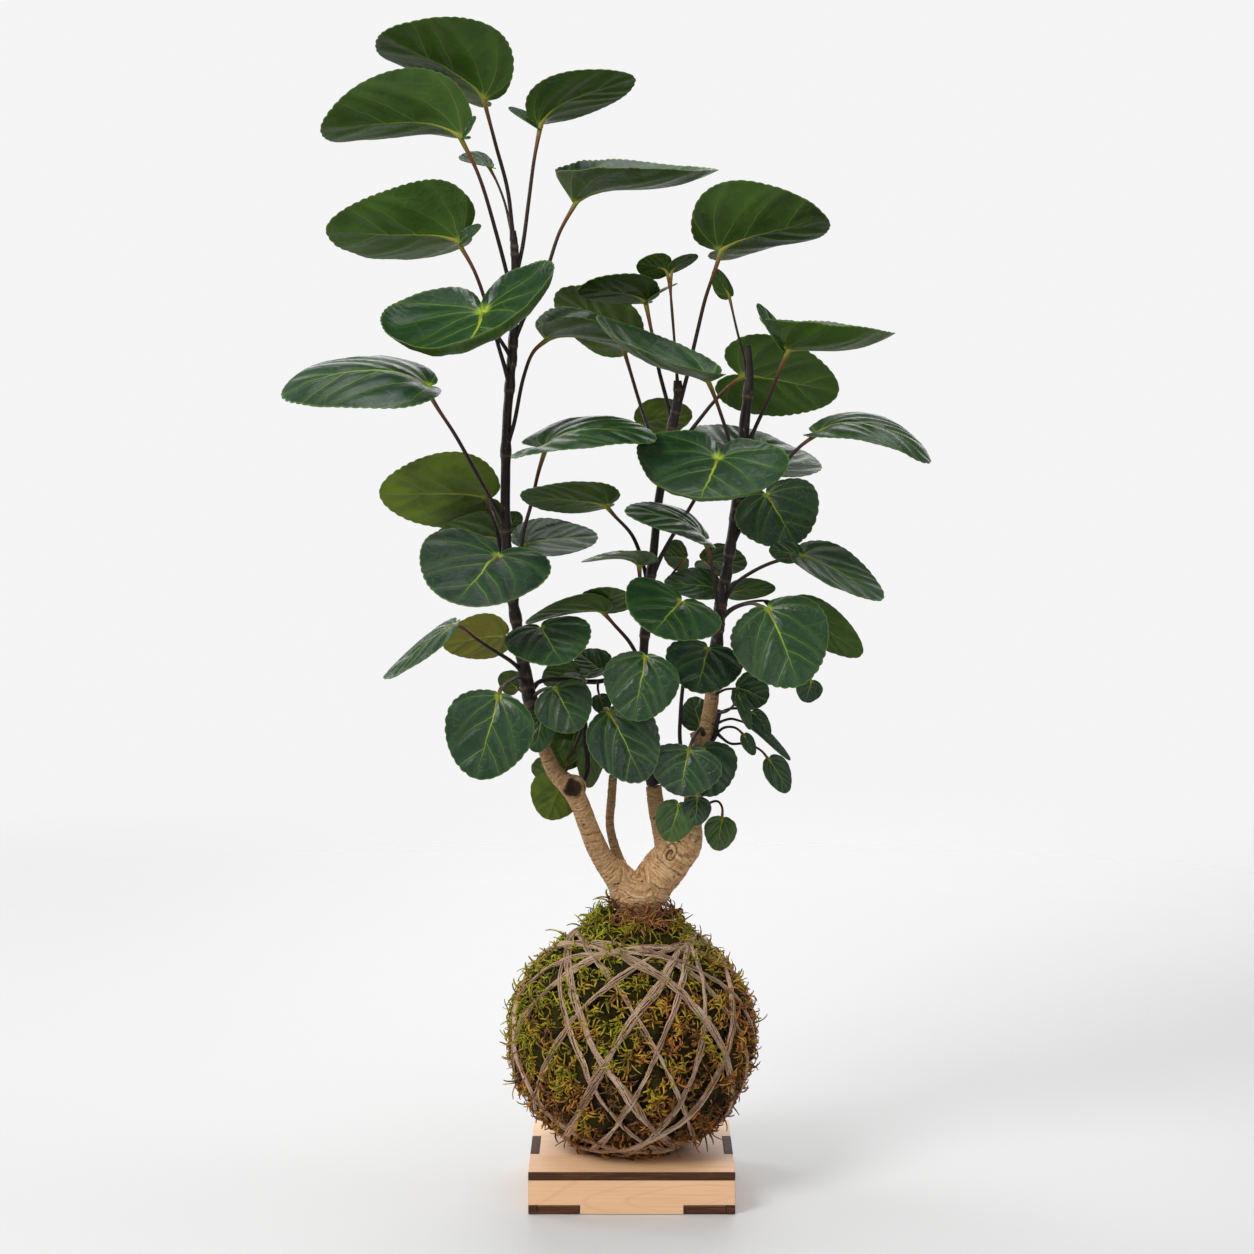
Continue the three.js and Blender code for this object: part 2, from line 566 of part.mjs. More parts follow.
    stalk: [[51, 2, 341], [61, 6, 348], [79, 10, 351]],
  },
  {
    node: "leaf_right_8", joint: [106, 0, 304], tip: [102, -4, 292], face: [0, -1, 0.2], wide: 16,
    stalk: [[79, 10, 351], [93, 8, 333], [102, 3, 314]],
  },
  {
    node: "leaf_right_9", joint: [44, -30, 326], tip: [37, -50, 303], face: [0, -0.9, 0.4], wide: 45,
    fold: 12, stalk: [[48, 2, 304], [47, -10, 309], [45, -22, 319]],
  },
  {
    node: "leaf_right_10", joint: [62, -10, 301], tip: [80, -15, 295], face: [0, -0.8, 0.6], wide: 27,
    fold: 12, stalk: [[47, 2, 294], [55, -6, 300]],
  },
  {
    node: "leaf_right_11", joint: [33, -40, 268], tip: [27, -48, 243], face: [0, -1, 0.2], wide: 42,
    fold: 12, stalk: [[43, 1, 270], [41, -8, 277], [36, -26, 274]],
  },
  {
    node: "leaf_right_12", joint: [42, -12, 266], tip: [48, -17, 238], face: [0, -1, 0.2], wide: 36,
    stalk: [[42, 1, 261], [43, -6, 266]],
  },
  {
    node: "leaf_right_13", joint: [41, 16, 275], tip: [36, 18, 293], face: [0, -1, 0], wide: 20,
    stalk: [[41, 2, 259], [42, 10, 268]],
  },
  {
    node: "inner_spray", joint: [-32, 12, 308], tip: [-53, 20, 301], face: [0, 0.8, 0.5], wide: 24,
    stalk: [[-28, 10, 303], [-30, 11, 306]],
  },
  {
    node: "inner_spray", joint: [-18, 14, 308], tip: [-32, 22, 319], face: [0, -0.7, 0.7], wide: 24,
    stalk: [[-15, 9, 304], [-16, 12, 306]],
  },
  {
    node: "inner_spray", joint: [-15, 0, 310], tip: [-27, -6, 307], face: [0, -0.4, 1], wide: 8,
    stalk: [[-15, 9, 304], [-15, 4, 308]],
  },
  {
    node: "inner_spray", joint: [-28, 0, 305], tip: [-40, -6, 309], face: [0, -0.4, 1], wide: 8,
    stalk: [[-27, 10, 303], [-27, 4, 304]],
  },
  {
    node: "inner_spray", joint: [-19, 2, 295], tip: [-16, -4, 285], face: [0, -1, 0.2], wide: 12,
    stalk: [[-20, 9, 303], [-20, 6, 299]],
  },
  {
    node: "low_left_spray", joint: [-41, 5, 245], tip: [-50, 10, 220], face: [0, 0.9, 0.4], wide: 32,
    stalk: [[-28, 5, 279], [-34, 4, 263], [-38, 5, 252]],
  },
  {
    node: "low_left_spray", joint: [-41, 12, 247], tip: [-60, 18, 250], face: [0, 0.9, 0.5], wide: 24,
    stalk: [[-28, 5, 280], [-35, 12, 263], [-39, 12, 253]],
  },
  {
    node: "low_left_spray", joint: [-39, -3, 255], tip: [-46, 0, 268], face: [0, -0.9, 0.3], wide: 26,
    stalk: [[-28, 4, 280], [-32, -4, 270], [-36, -5, 260]],
  },
  {
    node: "low_left_spray", joint: [-33, 14, 275], tip: [-42, 18, 249], face: [0.2, -1, 0.2], wide: 26,
    stalk: [[-28, 5, 282], [-30, 10, 279]],
  },
  {
    node: "low_left_spray", joint: [-26, 14, 272], tip: [-25, 18, 238], face: [0.6, -0.8, 0], wide: 22,
    stalk: [[-28, 5, 281], [-27, 10, 276]],
  },
  {
    node: "right_spray", joint: [62, -25, 298], tip: [69, -29, 279], face: [0.3, -0.8, 0.3], wide: 8,
    stalk: [[51, -7, 286], [56, -19, 289], [60, -26, 294]],
  },
  {
    node: "right_spray", joint: [71, -12, 287], tip: [81, -16, 274], face: [0.4, -0.8, 0.4], wide: 11,
    stalk: [[51, -7, 286], [58, -9, 289], [65, -11, 289]],
  },
  {
    node: "right_spray", joint: [68, -14, 281], tip: [93, -20, 260], face: [0.4, -0.5, 0.6], wide: 9,
    stalk: [[50, -6, 280], [58, -9, 283], [64, -12, 282]],
  },
  {
    node: "right_spray", joint: [81, -6, 258], tip: [92, -8, 239], face: [0.3, -0.8, 0.4], wide: 17,
    stalk: [[50, -5, 274], [58, -6, 268], [67, -7, 268], [76, -6, 264]],
  },
  {
    node: "right_spray", joint: [66, -14, 274], tip: [72, -14, 262], face: [0, -1, 0.2], wide: 8,
    stalk: [[50, -5, 274], [55, -9, 278], [61, -12, 278]],
  },
  {
    node: "fork_spray", joint: [27, -35, 236], tip: [21, -40, 215], face: [0.2, -1, 0.2], wide: 24,
    stalk: [[35, 0, 221], [33, -14, 231], [29, -28, 236]],
  },
  {
    node: "fork_spray", joint: [38, -34, 239], tip: [37, -38, 224], face: [0, -1, 0.2], wide: 17,
    stalk: [[35, 0, 221], [36, -16, 232], [37, -29, 238]],
  },
  {
    node: "fork_spray", joint: [53, -20, 225], tip: [50, -24, 207], face: [0, -1, 0.2], wide: 19,
    stalk: [[35, -8, 228], [43, -11, 232], [50, -14, 235], [53, -18, 232]],
  },
];
const LEAVES = LEAF_ROWS.map((row) => ({ ...USUAL_LEAF, ...row }));

// Twigs that carry a spray's leaves, as [x, y, z] points.
const TWIGS = {
  inner_spray: [[-60, -3, 296], [-55, 6, 303], [-43, 10, 304], [-31, 10, 303], [-20, 9, 303], [-15, 8, 304]],
  low_left_spray: [[-29, -6, 243], [-26, 1, 253], [-27, 3, 268], [-28, 5, 283]],
  right_spray: [[45, 1, 266], [49, -3, 272], [50, -6, 280], [52, -7, 288]],
};

// The blade's edge seen from above, as [along, across] round the joint, with teeth and a notch behind.
function bladeOutline({ wide, back, egg }, length, count) {
  const reach = (length * (1 + back)) / 2;
  const middle = length - reach;
  const half = wide / 2;
  const steps = count / 2;
  const angles = [];
  for (let i = 0; i < steps; i += 1) {
    angles.push(Math.PI * (1 - (1 - i / steps) ** EDGE_CROWDING));
  }
  const round = [...angles, Math.PI, ...angles.slice(1).reverse().map((angle) => -angle)];
  return round.map((angle, index) => {
    const c = Math.cos(angle);
    const s = Math.sin(angle);
    const a = (c / reach) ** 2 + (s / half) ** 2;
    const b = (-2 * middle * c) / reach ** 2;
    const d = (middle / reach) ** 2 - 1;
    const ellipse = (-b + Math.sqrt(b * b - 4 * a * d)) / (2 * a);
    const behind = (Math.PI - Math.abs(angle)) / radians(NOTCH_WIDTH);
    const notch = 1 - NOTCH_DEPTH * Math.exp(-behind * behind);
    const tooth = index % 2 === 0 ? 1 : 1 - 2 * CRENATION;
    const radius = ellipse * notch * tooth;
    const along = radius * c;
    return [along, radius * s * (1 - (egg * (along - middle)) / reach)];
  });
}

// The number of points on a blade's edge, two to each tooth.
function bladePoints({ wide }) {
  if (wide < LARGE_LEAF) {
    return wide < LEAFLET ? 8 : 12;
  }
  return wide < LARGEST_LEAF ? 16 : 20;
}

// The blade's axes at its joint, and its length along the arch.
function bladeFrame({ joint, tip, face, bend }) {
  const along = new THREE.Vector3(...tip).sub(new THREE.Vector3(...joint));
  const chord = along.length();
  along.normalize();
  const up = new THREE.Vector3(...face);
  up.addScaledVector(along, -up.dot(along)).normalize();
  const across = new THREE.Vector3().crossVectors(up, along);
  const half = radians(bend) / 2;
  const length = Math.abs(half) < 1e-6 ? chord : (chord * half) / Math.sin(half);
  const tangent = along.clone().multiplyScalar(Math.cos(half)).addScaledVector(up, Math.sin(half));
  const normal = up.clone().multiplyScalar(Math.cos(half)).addScaledVector(along, -Math.sin(half));
  return { origin: new THREE.Vector3(...joint), tangent, across, normal, length };
}

// Places a point of the flat blade on the folded, arched and cupped one, lift above its middle.
function onBlade(leaf, frame, x, y, lift) {
  const { fold, bend, cup, wide } = leaf;
  const { origin, tangent, across, normal, length } = frame;
  const half = wide / 2;
  const foldRate = radians(fold) / half;
  const roll = foldRate * y;
  const outOfCup = 1 - Math.exp(-Math.hypot(x, y) / (CUP_REACH * length));
  const sunk = cup * length * outOfCup * (1 - THREE.MathUtils.clamp(x / length, 0, 1));
  const side = Math.sin(roll) / foldRate - lift * Math.sin(roll);
  const height = (1 - Math.cos(roll)) / foldRate + sunk + lift * Math.cos(roll);
  const bendRate = radians(bend) / length;
  const turn = bendRate * x;
  const flat = Math.abs(bendRate) < 1e-9;
  const forward = (flat ? x : Math.sin(turn) / bendRate) + height * Math.sin(turn);
  const rise = (flat ? 0 : (Math.cos(turn) - 1) / bendRate) + height * Math.cos(turn);
  const place = origin.clone().addScaledVector(tangent, forward);
  return place.addScaledVector(across, side).addScaledVector(normal, rise);
}

// A blade is an upper and a lower skin, split into triangles alike, and a rim. Large blades have an inner
// ring of points, with one of them at the joint.
function blade(leaf) {
  const frame = bladeFrame(leaf);
  const count = bladePoints(leaf);
  const outline = bladeOutline(leaf, frame.length, count);
  const heart = HEART * frame.length;
  const faces = [];
  const flat = [...outline];
  if (leaf.wide < LARGE_LEAF) {
    outline.forEach((_, i) => faces.push([count, i, (i + 1) % count]));
  } else {
    const ring = outline.filter((_, index) => index % 2 === 0);
    const joint = ring.length / 2;
    const inner = ring.map(([x, y]) => [heart + (x - heart) / 2, y / 2]);
    inner[joint] = [0, 0];
    flat.push(...inner);
    const centre = flat.length;
    for (let i = 0; i < count; i += 2) {
      const next = (i + 2) % count;
      const near = count + i / 2;
      const far = count + next / 2;
      faces.push([near, i, i + 1], [near, i + 1, far], [far, i + 1, next], [centre, near, far]);
    }
  }
  flat.push([heart, 0]);
  const under = flat.length;
  const indices = faces.flatMap(([a, b, c]) => [a, b, c, under + a, under + c, under + b]);
  for (let i = 0; i < count; i += 1) {
    const next = (i + 1) % count;
    indices.push(i, under + i, next, next, under + i, under + next);
  }
  const skin = (lift) => flat.map(([x, y]) => onBlade(leaf, frame, x, y, lift));
  const skins = [...skin(BLADE / 2), ...skin(-BLADE / 2)];
  const geometry = new THREE.BufferGeometry().setFromPoints(skins);
  geometry.setIndex(indices);
  return solid(geometry);
}

// The stalk comes in from behind the joint and ends a little way along the blade's underside.
function stalk(leaf) {
  const frame = bladeFrame(leaf);
  const large = leaf.wide >= LARGE_LEAF;
  const radius = large ? STALK_RADIUS : FINE_STALK_RADIUS;
  const joint = onBlade(leaf, frame, 0, 0, -radius / 2);
  const heart = onBlade(leaf, frame, HEART * frame.length, 0, -radius / 2);
  const end = joint.clone().lerp(heart, large ? 0.2 : 0.4);
  const way = [...leaf.stalk, joint.toArray(), end.toArray()];
  return tube(way, radius, large ? 4 : 3, large ? way.length : way.length - 1);
}

function leafBodies(node) {
  const own = LEAVES.filter((leaf) => leaf.node === node);
  return own.flatMap((leaf) => (leaf.stalk ? [blade(leaf), stalk(leaf)] : [blade(leaf)]));
}

function spray(node) {
  const twig = TWIGS[node] ? [tube(TWIGS[node], TWIG_RADIUS, 4, TWIGS[node].length)] : [];
  return join([...twig, ...leafBodies(node)]);
}

// ---------------------------------------------------------------- the plant

const MATERIALS = {
  board: new THREE.MeshStandardMaterial({ color: 0xd9bd95, roughness: 0.6, metalness: 0 }),
  soil: new THREE.MeshStandardMaterial({ color: 0x2e2118, roughness: 1, metalness: 0 }),
  moss: new THREE.MeshStandardMaterial({ color: 0x6f6a2c, roughness: 0.95, metalness: 0 }),
  twine: new THREE.MeshStandardMaterial({ color: 0x6d6250, roughness: 0.9, metalness: 0 }),
  bark: new THREE.MeshStandardMaterial({ color: 0x9a7650, roughness: 0.85, metalness: 0 }),
  stem: new THREE.MeshStandardMaterial({ color: 0x2a1f19, roughness: 0.6, metalness: 0 }),
  leaf: new THREE.MeshStandardMaterial({ color: 0x2c4a20, roughness: 0.35, metalness: 0 }),
};

const group = new THREE.Group();

function place(name, body, material) {
  const mesh = new THREE.Mesh(geometryOf(body), MATERIALS[material]);
  mesh.name = name;
  group.add(mesh);
}

place("base_bottom_plate", bottomPlate(), "board");
place("base_top_plate", topPlate(), "board");
place("base_front_panel", longPanel(-1), "board");
place("base_back_panel", longPanel(1), "board");
place("base_left_panel", sidePanel(-1), "board");
place("base_right_panel", sidePanel(1), "board");
place("soil_core", soilCore(), "soil");
place("moss_layer", mossLayer(), "moss");
place("twine_binding", twineBinding(), "twine");

const trunkRoom = trunk(GAP);
const woodRoom = join([trunkRoom, ...Object.keys(STEMS).map((node) => stem(node, GAP))]);
place("trunk", trunk().subtract(limb(STUB_HOLLOW, STUB_SIDES)), "bark");

for (const node of Object.keys(STEMS)) {
  const twigs = join(leafBodies(node)).subtract(trunkRoom);
  place(node, stem(node).add(twigs), "stem");
}

const stemNodes = new Set(Object.keys(STEMS));
const leafNodes = new Set(LEAVES.map((leaf) => leaf.node).filter((node) => !stemNodes.has(node)));
for (const node of leafNodes) {
  place(node, largestPiece(spray(node).subtract(woodRoom)), "leaf");
}

export default group;
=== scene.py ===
"""Grows the looks of a round-leaved plant in a moss ball: its stand, moss, twine, bark, stems and leaves.

Sizes written here are millimetres in the model's frame, as in the part's own source. Blender's are metres.
"""

import math

import bmesh
import bpy
import numpy as np
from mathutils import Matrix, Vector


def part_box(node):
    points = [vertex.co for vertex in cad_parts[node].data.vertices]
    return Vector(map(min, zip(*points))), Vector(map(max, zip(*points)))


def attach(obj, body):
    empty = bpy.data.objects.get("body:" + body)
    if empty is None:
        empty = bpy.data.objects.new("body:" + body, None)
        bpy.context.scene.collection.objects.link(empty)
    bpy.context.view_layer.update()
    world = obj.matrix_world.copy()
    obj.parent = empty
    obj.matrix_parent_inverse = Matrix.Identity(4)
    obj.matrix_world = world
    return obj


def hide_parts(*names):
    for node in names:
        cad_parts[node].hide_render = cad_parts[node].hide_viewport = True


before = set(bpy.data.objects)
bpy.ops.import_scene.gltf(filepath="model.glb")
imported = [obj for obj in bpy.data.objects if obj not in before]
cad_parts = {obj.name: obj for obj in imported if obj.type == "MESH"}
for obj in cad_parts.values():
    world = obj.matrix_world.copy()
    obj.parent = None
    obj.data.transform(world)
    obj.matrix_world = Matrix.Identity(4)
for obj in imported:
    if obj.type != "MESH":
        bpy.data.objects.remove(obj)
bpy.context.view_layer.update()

bl_info = {
    "name": "Moss Ball Plant",
    "version": (1, 0, 0),
    "blender": (4, 5, 0),
    "location": "View3D > Sidebar > Moss Ball Plant",
    "description": "Stand, moss, twine, bark, stems and toothed leaves of a plant in a moss ball",
    "category": "Add Mesh",
}

MM = 0.001
BODY = "root"


# The ball and its bindings, as in the part.
BALL_CENTRE = np.array([0.0, 0.0, 91.0])
BALL_RADIUS = 70.0
BALL_SQUASH = 0.975
MOSS_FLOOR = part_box("moss_layer")[0].z / MM
SOIL_RADIUS = 61.0
SOIL_PLAY = 1.0
NECK_X = 4.0
NECK_RISE = 7.0
TWINE_RADIUS = 73.2
TWINE_TILT = 60
TWINE_TURNS = 6
# Angles from the ball's top: where its skin no longer leans round the neck, and where the shell, its inside
# and the strands begin and end.
NECK_FADE = math.radians(40)
SHELL_TOP, SHELL_FOOT = math.radians(13), math.acos(-0.93)
INSIDE_TOP = math.radians(17)
GROWTH_TOP, GROWTH_FOOT = math.radians(15), math.acos(-0.92)
# The ring of moss and roots round the trunk's foot.
COLLAR_INNER = 12.5
COLLAR_WIDTH = 13.5
COLLAR_HEIGHT = 168.5
# How many turns the five kinds of moss strand curl through.
STRAND_TURNS = (0.16, 0.3, 0.45, 0.62, 0.9)
# How far the moss stands up between the turns of twine, how deep each turn presses it in, and how far beside.
MOSS_RISE, TWINE_DENT, DENT_WIDTH = 1.2, 3.2, 2.6
# How far a turn wanders to its sides, in shares of the ball's radius, and over how many millimetres.
TWINE_WANDER = ((0.03, 33.0), (0.008, 9.0))
# How often a fibre goes round its bundle in one turn of twine, and how far round each starts from the last.
FIBRE_TURNS = 3
GOLDEN_ANGLE = 2.399
# The loose turns over the main ones, as the tilt and the heading of each turn's plane, in degrees.
LOOSE_TURNS = ((62, 14), (58, 138), (66, -171), (63, 66), (57, 84), (72, -150), (64, -24))

# The trunk's limbs as points of [x, y, z, radius], as in the part.
TRUNK_LIMBS = (
    ((4, 0, 112, 14), (4, 0, 140, 13), (4, 0, 158, 11), (4, 0, 167, 12), (4, 0, 176, 15), (4, 0, 186, 15)),
    ((0, 0, 177, 11), (-7, -1, 187, 9), (-16, -3, 197, 6.8), (-25, -5, 217, 6.2), (-31, -7, 233, 6),
     (-37, -8, 243, 6), (-45, -8, 251, 4.9), (-52, -8, 266, 4.2)),
    ((-4, 3, 184, 5), (-9, 8, 200, 3.2), (-13, 13, 216, 2.8), (-12, 16, 232, 2.7), (-11, 18, 246, 2.6)),
    ((9, 0, 177, 12), (17, -1, 190, 13), (27, -3, 201, 11.5), (33, -3, 209, 9), (35, -1, 219, 6.2),
     (37, 0, 236, 5.3), (41, 1, 257, 5), (45, 2, 278, 4.6), (48, 2, 300, 4.2)),
    ((23, 1, 198, 8), (18, 5, 213, 5.6), (15, 7, 226, 5.1), (13, 8, 241, 4.8)),
    ((-35, -4, 241, 6.4), (-34.4, -10, 242.4, 7.4), (-34, -16, 243, 6.6)),
    ((42, 1, 260, 3.4), (37, -1, 274, 3.1)),
)
STUB_HOLLOW = (-34.0, -17.5, 243.0)
STUB_HOLLOW_RADIUS = 5.6
STUB_HOLLOW_DEPTH = 4.2
# Each knot's place and radius, and how dark it is.
KNOTS = ((23, -12, 203, 5.2, 1.0), (11, -16, 180, 6, 0.35), (-8, -11, 186, 7, 0.3))
# How far the bark's rings, lumps and bumps rise and its pits sink, on a limb as thick as the foot.
RING_RISE, LUMP_RISE, BUMP_RISE, PIT_DEPTH = 0.34, 1.1, 1.3, 2.6

STEMS = {
    "stem_left": (
        (-52.4, -8, 267.2, 4.1), (-57, -6, 285, 4), (-61, -4, 299, 4), (-64, -2, 317, 3.5),
        (-68, 0, 340, 3.4), (-72, 0, 367, 3.3), (-74, 0, 394, 3.2), (-74, 0, 423, 3.1), (-73, 0, 458, 3),
        (-70, 0, 493, 2.8), (-68, 0, 528, 2.6), (-68, 0, 550, 2.4), (-69, 0, 568, 1.8)),
    "stem_middle": (
        (12.9, 8, 241.6, 4.6), (9, 8, 265, 4.2), (7, 8, 292, 3.5), (7, 6, 319, 3), (10, 6, 352, 2.9),
        (13, 6, 381, 2.8), (16, 6, 411, 2.8), (20, 6, 434, 2.8), (24, 6, 455, 3), (27, 6, 470, 2.8),
        (27, 6, 481, 2.2)),
    "stem_right": (
        (48.1, 2, 300.6, 4.1), (50, 2, 323, 3.6), (52, 2, 346, 3.4), (56, 2, 370, 3.3), (59, 2, 390, 3.3),
        (63, 2, 414, 3.3), (65, 2, 437, 3.4), (66, 2, 455, 3.6), (68, 2, 473, 3), (69, 2, 486, 2.5),
        (68, 2, 502, 1.8)),
}

TWIGS = {
    "inner_spray": (
        (-60, -3, 296), (-55, 6, 303), (-43, 10, 304), (-31, 10, 303), (-20, 9, 303), (-15, 8, 304)),
    "low_left_spray": ((-29, -6, 243), (-26, 1, 253), (-27, 3, 268), (-28, 5, 283)),
    "right_spray": ((45, 1, 266), (49, -3, 272), (50, -6, 280), (52, -7, 288)),
}
TWIG_RADIUS = 1.6

# What a leaf has where its row says nothing else: fold lifts the blade's two halves, bend arches it, back is
# how far its lobes reach behind the joint, cup sinks the joint, tone is how lime, or below zero how brown it
# is, lip turns its rim up and egg is how much wider it is towards the joint.
USUAL_LEAF = {
    "fold": 10, "bend": 0, "back": 0.12, "cup": 0.1, "stalk": (), "tone": 0.0, "lip": 0.0, "egg": 0.22}


def leaf(node, joint, tip, face, wide, **special):
    """A leaf's row. Joint and tip are the blade's two ends, and face is where its upper side looks."""
    return {**USUAL_LEAF, "node": node, "joint": joint, "tip": tip, "face": face, "wide": wide, **special}


